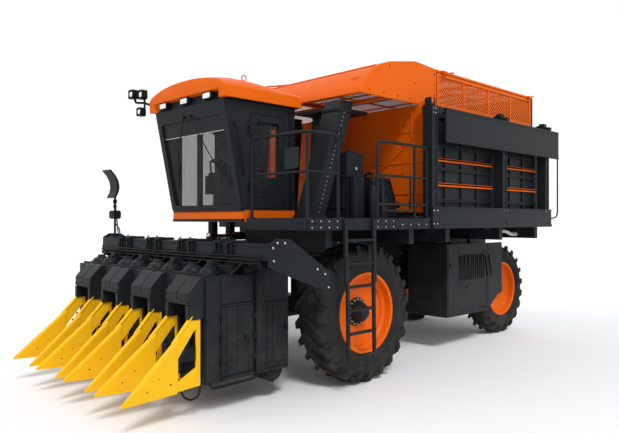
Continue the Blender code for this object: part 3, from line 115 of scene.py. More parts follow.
def noise_node(tree, vector, scale, detail=3.0):
    """A noise texture's value on a vector; scale is a socket or a number."""
    node = tree.nodes.new("ShaderNodeTexNoise")
    node.inputs["Detail"].default_value = detail
    tree.links.new(vector, node.inputs["Vector"])
    if isinstance(scale, (int, float)):
        node.inputs["Scale"].default_value = scale
    else:
        tree.links.new(scale, node.inputs["Scale"])
    return node.outputs["Fac"]


def ramp(tree, value, low, high):
    """value mapped from low..high to 0..1, clamped."""
    node = tree.nodes.new("ShaderNodeMapRange")
    node.inputs["From Min"].default_value = low
    node.inputs["From Max"].default_value = high
    tree.links.new(value, node.inputs["Value"])
    return node.outputs["Result"]


def mix_colour(tree, factor, a, b, blend="MIX"):
    """A colour mix; each of factor, a, b is a socket or a value."""
    node = tree.nodes.new("ShaderNodeMix")
    node.data_type = "RGBA"
    node.blend_type = blend
    for socket, value in ((node.inputs[0], factor), (node.inputs[6], a), (node.inputs[7], b)):
        if isinstance(value, bpy.types.NodeSocket):
            tree.links.new(value, socket)
        elif isinstance(value, (int, float)):
            socket.default_value = value
        else:
            socket.default_value = (*value, 1.0)
    return node.outputs[2]


def make_weathered_group():
    """Paint that varies: broad cloudy tone, fine speckle, dust that gathers low and on flats.

    tone = 1 + variation * (noise - 0.5); dust = amount * noise * (low places or upward faces).
    """
    group, source, sink = new_group(
        "weathered_paint",
        [("Base", "NodeSocketColor", (0.8, 0.8, 0.8, 1)), ("Dust", "NodeSocketColor", (0.30, 0.25, 0.19, 1)),
         ("Dust Amount", "NodeSocketFloat", 0.2), ("Variation", "NodeSocketFloat", 0.12),
         ("Roughness", "NodeSocketFloat", 0.35)],
        [("Color", "NodeSocketColor"), ("Roughness", "NodeSocketFloat"), ("Height", "NodeSocketFloat")])
    place = group.nodes.new("ShaderNodeTexCoord").outputs["Object"]
    broad = noise_node(group, place, 1.7, 4.0)
    fine = noise_node(group, place, 38.0, 2.0)
    grain = noise_node(group, place, 260.0, 1.0)
    tone = math_node(group, "MULTIPLY_ADD", math_node(group, "SUBTRACT", broad, 0.5), source.outputs["Variation"])
    tone.node.inputs[2].default_value = 1.0
    grey = group.nodes.new("ShaderNodeCombineColor")
    for index in range(3):
        group.links.new(tone, grey.inputs[index])
    toned = mix_colour(group, 1.0, source.outputs["Base"], grey.outputs[0], "MULTIPLY")
    split = group.nodes.new("ShaderNodeSeparateXYZ")
    group.links.new(place, split.inputs[0])
    low = ramp(group, split.outputs["Z"], 1.5, 0.1)
    normal = group.nodes.new("ShaderNodeNewGeometry").outputs["Normal"]
    facing = group.nodes.new("ShaderNodeSeparateXYZ")
    group.links.new(normal, facing.inputs[0])
    flat = math_node(group, "MULTIPLY", ramp(group, facing.outputs["Z"], 0.6, 1.0), 0.45)
    places = math_node(group, "ADD", math_node(group, "MULTIPLY", low, 0.8), flat, True)
    patch = ramp(group, noise_node(group, place, 6.0, 5.0), 0.38, 0.66)
    dust = math_node(group, "MULTIPLY", math_node(group, "MULTIPLY", places, patch), source.outputs["Dust Amount"],
                     True)
    colour = mix_colour(group, dust, toned, source.outputs["Dust"])
    speck = math_node(group, "MULTIPLY", math_node(group, "SUBTRACT", fine, 0.5), 0.16)
    rough = math_node(group, "ADD", math_node(group, "ADD", source.outputs["Roughness"], speck),
                      math_node(group, "MULTIPLY", dust, 0.4), True)
    group.links.new(colour, sink.inputs["Color"])
    group.links.new(rough, sink.inputs["Roughness"])
    group.links.new(grain, sink.inputs["Height"])
    return group


WEATHERED = make_weathered_group()
FINISHES = {}


def new_material(name):
    material = bpy.data.materials.new(name)
    material.use_nodes = True
    tree = material.node_tree
    return material, tree, tree.nodes["Principled BSDF"]


def painted(name, colour, roughness=0.35, dust=0.2, variation=0.14, coat=0.0, metallic=0.0, bump=0.03, gloss=0.5):
    """A painted or moulded surface built on the weathered group."""
    material, tree, shader = new_material(name)
    group = tree.nodes.new("ShaderNodeGroup")
    group.node_tree = WEATHERED
    group.inputs["Base"].default_value = (*colour, 1.0)
    group.inputs["Dust Amount"].default_value = dust
    group.inputs["Variation"].default_value = variation
    group.inputs["Roughness"].default_value = roughness
    tree.links.new(group.outputs["Color"], shader.inputs["Base Color"])
    tree.links.new(group.outputs["Roughness"], shader.inputs["Roughness"])
    node = tree.nodes.new("ShaderNodeBump")
    node.inputs["Strength"].default_value = bump
    node.inputs["Distance"].default_value = 0.002
    tree.links.new(group.outputs["Height"], node.inputs["Height"])
    tree.links.new(node.outputs["Normal"], shader.inputs["Normal"])
    shader.inputs["Coat Weight"].default_value = coat
    shader.inputs["Coat Roughness"].default_value = 0.12
    shader.inputs["Metallic"].default_value = metallic
    shader.inputs["Specular IOR Level"].default_value = gloss
    FINISHES[name] = material
    return material


def make_glass(name, colour, alpha):
    """Thin tinted glass: mostly clear, darker where the tint noise is thicker."""
    material, tree, shader = new_material(name)
    place = tree.nodes.new("ShaderNodeTexCoord").outputs["Object"]
    film = noise_node(tree, place, 3.0, 2.0)
    tree.links.new(mix_colour(tree, film, colour, tuple(c * 1.25 for c in colour)), shader.inputs["Base Color"])
    tree.links.new(math_node(tree, "MULTIPLY", film, 0.08), shader.inputs["Roughness"])
    shader.inputs["Alpha"].default_value = alpha
    shader.inputs["Specular IOR Level"].default_value = 0.15
    shader.inputs["Metallic"].default_value = 0.0
    shader.inputs["Transmission Weight"].default_value = 0.0
    FINISHES[name] = material
    return material


def make_finishes(finish):
    """All the materials, from the colours in the panel."""
    orange = tuple(finish.orange)
    dark = tuple(finish.dark)
    painted("orange_gloss", orange, 0.40, 0.06, 0.10, gloss=0.09)
    painted("dark_satin", dark, 0.42, 0.08, 0.25, gloss=0.10)
    painted("yellow_gloss", tuple(finish.yellow), 0.36, 0.08, 0.10, gloss=0.10)
    painted("tyre_rubber", tuple(finish.rubber), 0.75, 0.12, 0.3, bump=0.25, gloss=0.12)
    painted("black_plastic", (0.008, 0.008, 0.009), 0.5, 0.08, 0.2, bump=0.15, gloss=0.12)
    painted("worn_steel", (0.42, 0.42, 0.42), 0.33, 0.05, 0.2, metallic=1.0)
    painted("chrome_steel", (0.62, 0.62, 0.63), 0.12, 0.0, 0.05, metallic=1.0)
    painted("mirror_silver", (0.05, 0.05, 0.055), 0.2, 0.0, 0.05, metallic=1.0)
    painted("lamp_lens", (0.80, 0.80, 0.78), 0.15, 0.0, 0.05, coat=0.5)
    painted("seat_cloth", (0.03, 0.03, 0.035), 0.9, 0.05, 0.3, bump=0.5)
    make_glass("tinted_glass", (0.030, 0.034, 0.037), 0.30)


NODE_FINISH = {
    "orange_gloss": ("cab_floor", "cab_roof", "basket_hood", "basket_front_wall", "basket_roof", "rim_"),
    "yellow_gloss": ("divider_",),
    "tyre_rubber": ("tyre_",),
    "tinted_glass": ("windscreen", "side_glass", "door_glass"),
    "seat_cloth": ("seat_cushion",),
    "chrome_steel": ("cylinder_rod",),
}


def paint_nodes():
    """Give every CAD node its finish through its material slots."""
    for name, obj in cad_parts.items():
        look = "dark_satin"
        for finish, starts in NODE_FINISH.items():
            if name.startswith(starts):
                look = finish
        obj.data.materials.clear()
        obj.data.materials.append(FINISHES[look])


# ============================================================ surfaces
def unit(vectors):
    """Vectors scaled to length one along the last axis."""
    return vectors / np.linalg.norm(vectors, axis=-1, keepdims=True)


def quads(rows, cols, wrap_rows, wrap_cols):
    """Four-point faces over a rows x cols grid of points: (r, c), (r, c+1), (r+1, c+1), (r+1, c)."""
    r = np.arange(rows - (not wrap_rows))[:, None]
    c = np.arange(cols - (not wrap_cols))[None, :]
    r1, c1 = (r + 1) % rows, (c + 1) % cols
    return np.stack([r * cols + c, r * cols + c1, r1 * cols + c1, r1 * cols + c], -1).reshape(-1, 4)


class Shell:
    """Points and faces gathered for one piece, kept as whole arrays."""

    def __init__(self):
        self.points = []
        self.loops = []
        self.count = 0

    def grids(self, points, wrap_rows=False, wrap_cols=True, caps=True):
        """Add (copies, rows, cols, 3) points: a skin over each grid, and its first and last row closed."""
        points = np.asarray(points, float)
        if points.ndim == 3:
            points = points[None]
        copies, rows, cols, _ = points.shape
        base = self.count + np.arange(copies)[:, None, None] * rows * cols
        self.loops += (quads(rows, cols, wrap_rows, wrap_cols)[None] + base).reshape(-1, 4).tolist()
        if caps:
            ring = np.arange(cols)
            self.loops += (base[:, 0] + ring[::-1]).tolist() + (base[:, 0] + (rows - 1) * cols + ring).tolist()
        self.points.append(points.reshape(-1, 3))
        self.count += copies * rows * cols
        return self

    def boxes(self, rows):
        """Blocks from rows of (x0, x1, y0, y1, z0, z1)."""
        b = np.asarray(rows, float).reshape(-1, 6)
        x, y = b[:, [0, 1, 1, 0]], b[:, [2, 2, 3, 3]]
        rings = [np.stack([x, y, np.repeat(b[:, k:k + 1], 4, 1)], -1) for k in (4, 5)]
        return self.grids(np.stack(rings, 1))

    def plate(self, axis, outline, low, high):
        """A closed outline carried straight along X (y, z), Y (x, z) or Z (x, y) from low to high."""
        a, b = np.asarray(outline, float).T
        order = {"X": lambda k: (k, a, b), "Y": lambda k: (a, k, b), "Z": lambda k: (a, b, k)}[axis]
        rings = [np.stack(order(np.full(len(a), k)), -1) for k in (low, high)]
        return self.grids(np.stack(rings))

    def window(self, axis, outer, inner, low, high):
        """A sheet with a hole: outer and inner outlines of equal count, joined edge to edge and closed all round."""
        outer, inner = np.asarray(outer, float), np.asarray(inner, float)
        turns = np.stack([np.c_[p, np.full(len(p), k)] for p, k in
                          ((outer, low), (outer, high), (inner, high), (inner, low))])
        order = {"X": (2, 0, 1), "Y": (0, 2, 1), "Z": (0, 1, 2)}[axis]
        return self.grids(turns[..., order], wrap_rows=True, caps=False)

    def tube(self, points, radius, sides=8, bend=0.05):
        """A round tube along a path whose corners are rounded: path + radius * (side cos t + lift sin t)."""
        path = rounded(points, bend)
        along = unit(np.gradient(path, axis=0))
        up = np.linalg.eigh(along.T @ along)[1][:, 0]
        side = unit(np.cross(along, up))
        lift = np.cross(side, along)
        turn = np.linspace(0, 2 * np.pi, sides, endpoint=False)
        ring = side[:, None] * np.cos(turn)[:, None] + lift[:, None] * np.sin(turn)[:, None]
        return self.grids(path[:, None] + radius * ring)

    def lathe(self, profile, centre, axis="X", sides=32, closed=True):
        """A profile of (along, radius) turned about an axis: radius * (cos t, sin t) across it."""
        along, radius = np.asarray(profile, float).T
        turn = np.linspace(0, 2 * np.pi, sides, endpoint=False)[:, None]
        parts = [along + 0 * turn, radius * np.cos(turn), radius * np.sin(turn)]
        order = {"X": (0, 1, 2), "Y": (1, 0, 2), "Z": (1, 2, 0)}[axis]
        points = np.stack([parts[k] for k in order], -1) + np.asarray(centre, float)
        return self.grids(points, wrap_rows=True, wrap_cols=closed, caps=False)

    def bolts(self, centres, axis="X", radius=0.011, height=0.008, sides=6):
        """Bolt heads: a six-sided ring, the same ring raised, and a smaller one on top, at every centre."""
        centres = np.asarray(centres, float).reshape(-1, 3)
        turn = np.linspace(0, 2 * np.pi, sides, endpoint=False)
        index = "XYZ".index(axis.strip("-"))
        sign = -1 if axis.startswith("-") else 1
        others = [k for k in range(3) if k != index]
        rings = np.zeros((3, sides, 3))
        for row, (size, lift) in enumerate(((1, 0), (1, 0.75), (0.78, 1))):
            rings[row, :, others[0]] = radius * size * np.cos(turn)
            rings[row, :, others[1]] = radius * size * np.sin(turn)
            rings[row, :, index] = sign * height * lift
        return self.grids(centres[:, None, None] + rings)


def rounded(points, bend, steps=5):
    """A path whose inner corners become curves: (1-s)^2 p + 2 s (1-s) corner + s^2 q."""
    points = np.asarray(points, float)
    s = np.linspace(0, 1, steps)[:, None]
    path = [points[:1]]
    for before, corner, after in zip(points, points[1:], points[2:]):
        reach = [min(bend, 0.45 * np.linalg.norm(end - corner)) for end in (before, after)]
        p = corner + unit(before - corner) * reach[0]
        q = corner + unit(after - corner) * reach[1]
        path.append((1 - s) ** 2 * p + 2 * s * (1 - s) * corner + s ** 2 * q)
    path.append(points[-1:])
    return np.concatenate(path)


def piece(shell, name, body, finish, replaces=(), bevel=0.0, smooth=35, segments=2):
    """Make the mesh object, turn its faces outwards, finish it and hang it on its body."""
    mesh = bpy.data.meshes.new(name)
    mesh.from_pydata(np.concatenate(shell.points).tolist(), [], shell.loops)
    bm = bmesh.new()
    bm.from_mesh(mesh)
    bmesh.ops.remove_doubles(bm, verts=bm.verts, dist=1e-6)
    bmesh.ops.recalc_face_normals(bm, faces=bm.faces)
    bm.to_mesh(mesh)
    bm.free()
    mesh.shade_smooth()
    mesh.set_sharp_from_angle(angle=math.radians(smooth))
    obj = bpy.data.objects.new(name, mesh)
    bpy.context.scene.collection.objects.link(obj)
    mesh.materials.append(FINISHES[finish])
    if bevel:
        modifier = obj.modifiers.new("edges", "BEVEL")
        modifier.width = bevel
        modifier.segments = segments
        modifier.limit_method = "ANGLE"
        modifier.angle_limit = math.radians(40)
    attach(obj, body)
    if replaces:
        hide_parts(*replaces)
    return obj


def line(start, end, count):
    """Evenly spaced points from start to end."""
    return np.linspace(start, end, count)


def at(*axes):
    """Every combination of the given x, y and z values, as points."""
    return np.stack(np.meshgrid(*[np.atleast_1d(a) for a in axes], indexing="ij"), -1).reshape(-1, 3)


# ============================================================ wheels
WHEELS = {
    # place: (centre of the left wheel, tyre width, flange radius, rim width, lugs a side)
    "front": ((1.44, -1.0, 0.875), 0.467, 0.507, 0.42, 23),
    "rear": ((0.915, 3.41, 0.80), 0.378, 0.480, 0.33, 21),
}


def tyre_shell(centre, radius, width, flange, lug_height, lugs):
    """Carcass: a bowed section turned about the axle.  Lugs: bars from the middle to each shoulder.

    A lug point is x = width * s / 2, angle = start + sweep * s, radius = crown(s) or below the carcass,
    where crown(s) = radius - 0.016 s^2 - 0.10 * max(0, s - 0.86) / 0.14.
    """
    shell = Shell()
    body = radius - lug_height
    half = width / 2
    bead = flange - 0.02
    outer = [(half - 0.045, bead), (half - 0.035, flange + 0.006), (half - 0.012, flange + 0.04),
             (half - 0.002, flange + 0.11), (half - 0.002, flange + 0.18), (half - 0.010, body - 0.10),
             (half - 0.030, body - 0.045), (half - 0.075, body - 0.012), (half * 0.3, body)]
    inner = [(half - 0.075, bead), (half - 0.07, flange + 0.03), (half - 0.045, flange + 0.12),
             (half - 0.09, body - 0.09), (half * 0.3, body - 0.05)]
    profile = outer + [(-a, r) for a, r in outer[::-1]] + [(-a, r) for a, r in inner] + [(a, r) for a, r in inner[::-1]]
    shell.lathe(profile, centre, "X", 72)
    for ring in (flange + 0.075, flange + 0.135):
        for side in (-1, 1):
            rib = [(side * (half - 0.010), ring - 0.008), (side * (half - 0.0005), ring),
                   (side * (half - 0.010), ring + 0.008)]
            shell.lathe(rib, centre, "X", 72)
    s = np.array([-0.06, 0.15, 0.4, 0.65, 0.86, 0.95, 1.0])
    crown = radius - 0.016 * s ** 2 - 0.10 * np.clip((s - 0.86) / 0.14, 0, 1)
    base = np.minimum(body - 0.03, crown - 0.03)
    wide = 0.030 + 0.012 * s
    section = [(-1.25, base), (-1.0, crown), (1.0, crown), (1.25, base)]
    sweep = 0.30
    for side in (-1, 1):
        start = np.arange(lugs) * 2 * np.pi / lugs + (0.5 * 2 * np.pi / lugs if side > 0 else 0)
        angle = sweep * np.abs(s) ** 0.9 * np.sign(s)
        x = np.repeat((side * half * np.minimum(s, 0.995))[:, None], 4, 1)
        turn = angle[:, None] + np.array([k for k, _ in section]) * (wide / radius)[:, None]
        high = np.stack([r for _, r in section], 1)
        turn = start[:, None, None] + turn[None]
        points = np.stack([np.broadcast_to(x, turn.shape), high * np.cos(turn), high * np.sin(turn)], -1)
        shell.grids(points + np.asarray(centre))
    return shell


def rim_shell(centre, flange, rim_width, side):
    """A dished rim: flange lip, bead seat, stepped well, and a disc set in to the middle of the wheel."""
    half = rim_width / 2
    outer = [(-half, flange), (-half + 0.012, flange + 0.002), (-half + 0.016, flange - 0.02),
             (-half + 0.06, flange - 0.028),
             (-half + 0.085, flange - 0.065), (half - 0.14, flange - 0.065), (half - 0.10, flange - 0.03),
             (half - 0.016, flange - 0.02), (half - 0.012, flange + 0.002), (half, flange)]
    inner = [(half, flange - 0.012), (half - 0.01, flange - 0.032), (half - 0.095, flange - 0.044),
             (half - 0.13, flange - 0.079),
             (0.055, flange - 0.080), (0.045, flange - 0.10), (0.035, flange - 0.17), (0.020, 0.235), (0.020, 0.10),
             (0.0, 0.10), (0.0, 0.235), (0.012, flange - 0.16), (0.012, flange - 0.085),
             (-half + 0.075, flange - 0.079),
             (-half + 0.05, flange - 0.042), (-half, flange - 0.014)]
    profile = [(side * a, r) for a, r in outer + inner]
    return Shell().lathe(profile, centre, "X", 72)


def hub_shell(centre, side, reach, radius):
    """Hub: a flange and a drum whose radius falls to zero at the rounded cap."""
    profile = [(0.0, 0.0), (0.0, radius + 0.055), (0.035, radius + 0.055), (0.037, radius + 0.012),
               (reach * 0.55, radius),
               (reach * 0.8, radius * 0.93), (reach * 0.93, radius * 0.75), (reach, radius * 0.45), (reach, 0.0)]
    return Shell().lathe([(side * a, r) for a, r in profile], centre, "X", 40)


def wheel_nuts(centre, side, ring, count):
    """Wheel nuts evenly round a circle: (ring cos t, ring sin t)."""
    turn = np.linspace(0, 2 * np.pi, count, endpoint=False)
    spots = np.stack([np.full(count, side * 0.034), ring * np.cos(turn), ring * np.sin(turn)], -1) + np.asarray(centre)
    axis = "X" if side > 0 else "-X"
    shell = Shell().bolts(spots, axis, 0.0165, 0.020)
    shell.bolts(spots, axis, 0.008, 0.034, 8)
    return shell


def make_wheels(sizes):
    """The four tyres, rims, hubs and their nuts."""
    for place, ((x, y, z), width, flange, rim_width, lugs) in WHEELS.items():
        for name, side in (("left", 1), ("right", -1)):
            centre = (side * x, y, z)
            body = f"wheel_{place}_{name}"
            tag = f"{place}_{name}"
            tyre = tyre_shell(centre, z - 0.001, width - 0.002, flange, sizes.lug_height, lugs)
            piece(tyre, "tyre_lugged_" + tag, body, "tyre_rubber", ["tyre_" + tag], smooth=40)
            piece(rim_shell(centre, flange, rim_width, side), "rim_dished_" + tag, body,
                  "orange_gloss", ["rim_" + tag], smooth=30)
            reach = 0.165 if place == "front" else 0.15
            piece(hub_shell(centre, side, reach, 0.125 if place == "front" else 0.10), "hub_" + tag, body,
                  "dark_satin", smooth=40)
            piece(wheel_nuts(centre, side, 0.157 if place == "front" else 0.132, 16 if place == "front" else 10),
                  "wheel_nuts_" + tag, body, "worn_steel", smooth=20)


# ============================================================ header
ROWS = (-1.14, -0.38, 0.38, 1.14)
TIP_Y, KINK_Y, TOP_Y = -4.205, -3.585, -3.29
PICK_FRONT, PICK_REAR, PICK_LOW, PICK_TOP = -3.25, -2.10, 0.335, 1.45


def ridge_height(y):
    """Top edge of a divider: straight runs through its tip, kink and top."""
    return np.interp(y, (TIP_Y, TIP_Y + 0.02, KINK_Y, TOP_Y - 0.03), (0.318, 0.338, 0.850, 1.139))


def divider_x(row, side, y):
    """Middle of a divider sheet: it leans towards the row at the back."""
    return row + side * np.interp(y, (TIP_Y, TOP_Y), (0.272, 0.192))


def divider_nose(shell, row, side):
    """The pointed lower section: at each y a thin wall with a round top of radius t(y), narrowing to the tip."""
    share = np.linspace(0, 1, 24)[:, None] ** 1.3
    y = TIP_Y + (KINK_Y + 0.012 - TIP_Y) * share
    top = ridge_height(y) + 0.004
    t = 0.004 + 0.024 * np.minimum(1, share * 3.2) ** 0.7
    turn = np.linspace(0, np.pi, 9)[None]
    ring_a = np.concatenate([np.full_like(y, 1.0), np.full_like(y, 1.0), np.cos(turn) + 0 * y, -np.ones_like(y),
                             -np.ones_like(y)], 1)
    low = 0.298 + 0.012 * share
    z = np.concatenate([low, np.maximum(low + 0.003, top - 2.2 * t), top - t + t * np.sin(turn),
                        np.maximum(low + 0.003, top - 2.2 * t), low], 1)
    wide = np.concatenate([t * 0.55, t * 0.9, t + 0 * turn, t * 0.9, t * 0.55], 1)
    x = divider_x(row, side, y) + ring_a * wide
    shell.grids(np.stack([x, np.broadcast_to(y, x.shape), z], -1))


def divider_wing(shell, row, side):
    """The upper section behind the nose: a sheet with a slanted window and a round top edge."""
    outer = [(-3.62, 0.325), (-3.62, 0.815), (-3.335, 1.132), (-3.292, 1.118), (-3.292, 0.335)]
    inner = [(-3.565, 0.42), (-3.565, 0.66), (-3.375, 0.90), (-3.335, 0.93), (-3.335, 0.53)]
    rate = side * (0.192 - 0.272) / (TOP_Y - TIP_Y)
    middle = divider_x(row, side, TOP_Y)
    start = len(shell.points)
    shell.window("X", outer, inner, middle - 0.011, middle + 0.011)
    shell.tube([(middle, -3.625, 0.806), (middle, -3.333, 1.120), (middle, -3.305, 1.118)], 0.021, 10, 0.03)
    shell.boxes([(middle - 0.016, middle + 0.016, -3.312, -3.290, 0.335, 1.10)])
    for k in range(start, len(shell.points)):
        shell.points[k] = shell.points[k] + np.outer((shell.points[k][:, 1] - TOP_Y) * rate, (1, 0, 0))


def make_dividers():
    """The five yellow dividers, with their rods, mounts and bolts."""
    groups = [[(ROWS[0], -1)], *[[(a, 1), (b, -1)] for a, b in zip(ROWS, ROWS[1:])], [(ROWS[-1], 1)]]
    for number, members in enumerate(groups, 1):
        body = Shell()
        dark = Shell()
        rods = Shell()
        for row, side in members:
            divider_nose(body, row, side)
            divider_wing(body, row, side)
            y = np.array([-4.10, -3.95, -3.72, -3.50])
            inner = divider_x(row, side, y) - side * 0.055
            rods.tube(np.stack([inner, y, 0.312 + 0 * y], -1), 0.007, 6, 0.02)
            for yy, xx in zip(y[1:], inner[1:]):
                rods.tube([(xx, yy, 0.312), (xx + side * 0.055, yy, 0.322)], 0.006, 6)
            for yy, zz in ((-3.80, 0.50), (-3.93, 0.40), (-3.62, 0.66), (-3.66, 0.42)):
                xx = divider_x(row, side, yy)
                dark.bolts([(xx + 0.014, yy, zz)], "X", 0.009, 0.008)
                dark.bolts([(xx - 0.014, yy, zz)], "-X", 0.009, 0.008)
            xx = divider_x(row, side, -3.40)
            dark.boxes([(*sorted((xx - side * 0.012, xx - side * 0.085)), -3.50, -3.30, 0.60, 0.74),
                        (*sorted((xx - side * 0.02, xx - side * 0.07)), -3.32, -3.255, 0.40, 1.02)])
            dark.lathe([(-0.06, 0.03), (-0.05, 0.038), (-0.04, 0.03), (-0.03, 0.038), (-0.02, 0.03), (-0.01, 0.038),
                        (0.0, 0.03), (0.01, 0.038), (0.02, 0.03), (0.02, 0.0), (-0.06, 0.0)],
                       (xx - side * 0.045, -3.42, 0.80), "Z", 12)
            hook = [(xx - side * 0.03, -3.50, 0.335), (xx - side * 0.03, -3.47, 0.24), (xx - side * 0.03, -3.38, 0.19),
                    (xx - side * 0.03, -3.28, 0.22), (xx - side * 0.03, -3.26, 0.345)]
            dark.tube(hook, 0.012, 8, 0.06)
        piece(body, f"divider_point_{number}", "header", "yellow_gloss", [f"divider_{number}"],
              smooth=45)
        piece(rods, f"divider_rods_{number}", "header", "yellow_gloss", smooth=60)
        piece(dark, f"divider_mounts_{number}", "header", "black_plastic", smooth=35)


def unit_hood(row):
    """The slanted hood over a throat in three strips, with cheeks and a hem under its front."""
    shell = Shell()
    side = [(-3.236, 1.458), (-3.295, 1.452), (-3.437, 1.300), (-3.440, 1.175), (-3.236, 1.165)]
    for low, high in ((-0.221, -0.009), (-0.008, 0.008), (0.009, 0.221)):
        inset = 0.0 if high - low > 0.05 else 0.004
        outline = [(y + inset * (z < 1.44), z - inset) for y, z in side]
        shell.plate("X", outline, row + low, row + high)
    shell.boxes([(row - 0.221, row - 0.165, -3.445, -3.25, 1.02, 1.17),
                 (row + 0.165, row + 0.221, -3.445, -3.25, 1.02, 1.17),
                 (row - 0.215, row + 0.215, -3.446, -3.438, 1.185, 1.225)])
    return shell


def make_unit(number, row):
    """The details of one picking unit: hood, drum caps, gear housings, panel seams and bolts."""
    piece(unit_hood(row), f"unit_hood_{number}", "header", "dark_satin", bevel=0.007)
    bolts = Shell().bolts(at(row + np.array([-0.19, -0.10, 0.10, 0.19]), -3.447, (1.205, 1.275)), "-Y", 0.008, 0.006)
    bolts.bolts(at(row + np.array([-0.19, 0.0, 0.19]), -3.27, 1.459), "Z", 0.008, 0.006)
    top = Shell()
    for x, y, size in ((row - 0.33, -3.02, 1.0), (row - 0.33, -2.48, 1.0), (row + 0.02, -3.06, 0.8),
                       (row + 0.02, -2.40, 0.8)):
        top.lathe([(0.0, 0.0), (0.0, 0.145 * size), (0.03, 0.145 * size), (0.034, 0.12 * size), (0.065, 0.105 * size),
                   (0.09, 0.055 * size), (0.115, 0.05 * size), (0.12, 0.0)], (x, y, PICK_TOP - 0.002), "Z", 20)
        turn = np.linspace(0, 2 * np.pi, 6, endpoint=False)
        spots = np.c_[x + 0.130 * size * np.cos(turn), y + 0.130 * size * np.sin(turn), np.full(6, PICK_TOP + 0.027)]
        bolts.bolts(spots, "Z", 0.008, 0.008)
    top.boxes([(row - 0.20, row + 0.17, -2.93, -2.84, PICK_TOP - 0.01, 1.55),
               (row - 0.12, row - 0.02, -2.99, -2.86, 1.50, 1.60),
               (row - 0.46, row - 0.10, -2.30, -2.16, PICK_TOP - 0.01, 1.50),
               (row + 0.05, row + 0.22, -2.72, -2.50, PICK_TOP - 0.01, 1.52),
               (row - 0.50, row + 0.225, -3.20, -3.185, PICK_TOP - 0.01, 1.475),
               (row - 0.50, row + 0.225, -2.62, -2.60, PICK_TOP - 0.01, 1.485)])
    top.tube([(row + 0.14, -2.88, 1.50), (row + 0.14, -2.60, 1.58), (row + 0.05, -2.35, 1.56),
              (row + 0.02, -2.35, 1.47)], 0.016, 8, 0.08)
    piece(top, f"unit_top_{number}", "header", "dark_satin", bevel=0.004)
    piece(bolts, f"unit_bolts_{number}", "header", "black_plastic", smooth=20)
    face = Shell()
    left, right = row - 0.515, row + 0.24
    face.boxes([(left + 0.03, left + 0.31, PICK_FRONT - 0.012, PICK_FRONT + 0.002, 0.38, 1.42),
                (left + 0.06, left + 0.28, PICK_FRONT - 0.020, PICK_FRONT - 0.01, 0.44, 0.86),
                (left + 0.06, left + 0.28, PICK_FRONT - 0.020, PICK_FRONT - 0.01, 0.90, 1.36),
                (left + 0.02, left + 0.33, PICK_REAR - 0.002, PICK_REAR + 0.010, 0.40, 1.40),
                (left + 0.06, left + 0.13, PICK_REAR + 0.006, PICK_REAR + 0.018, 0.46, 1.34),
                (left + 0.20, left + 0.27, PICK_REAR + 0.006, PICK_REAR + 0.018, 0.46, 1.34),
                (right - 0.065, right - 0.004, PICK_REAR - 0.002, PICK_REAR + 0.010, 0.40, 1.40)])
    piece(face, f"unit_panels_{number}", "header", "dark_satin", bevel=0.004)


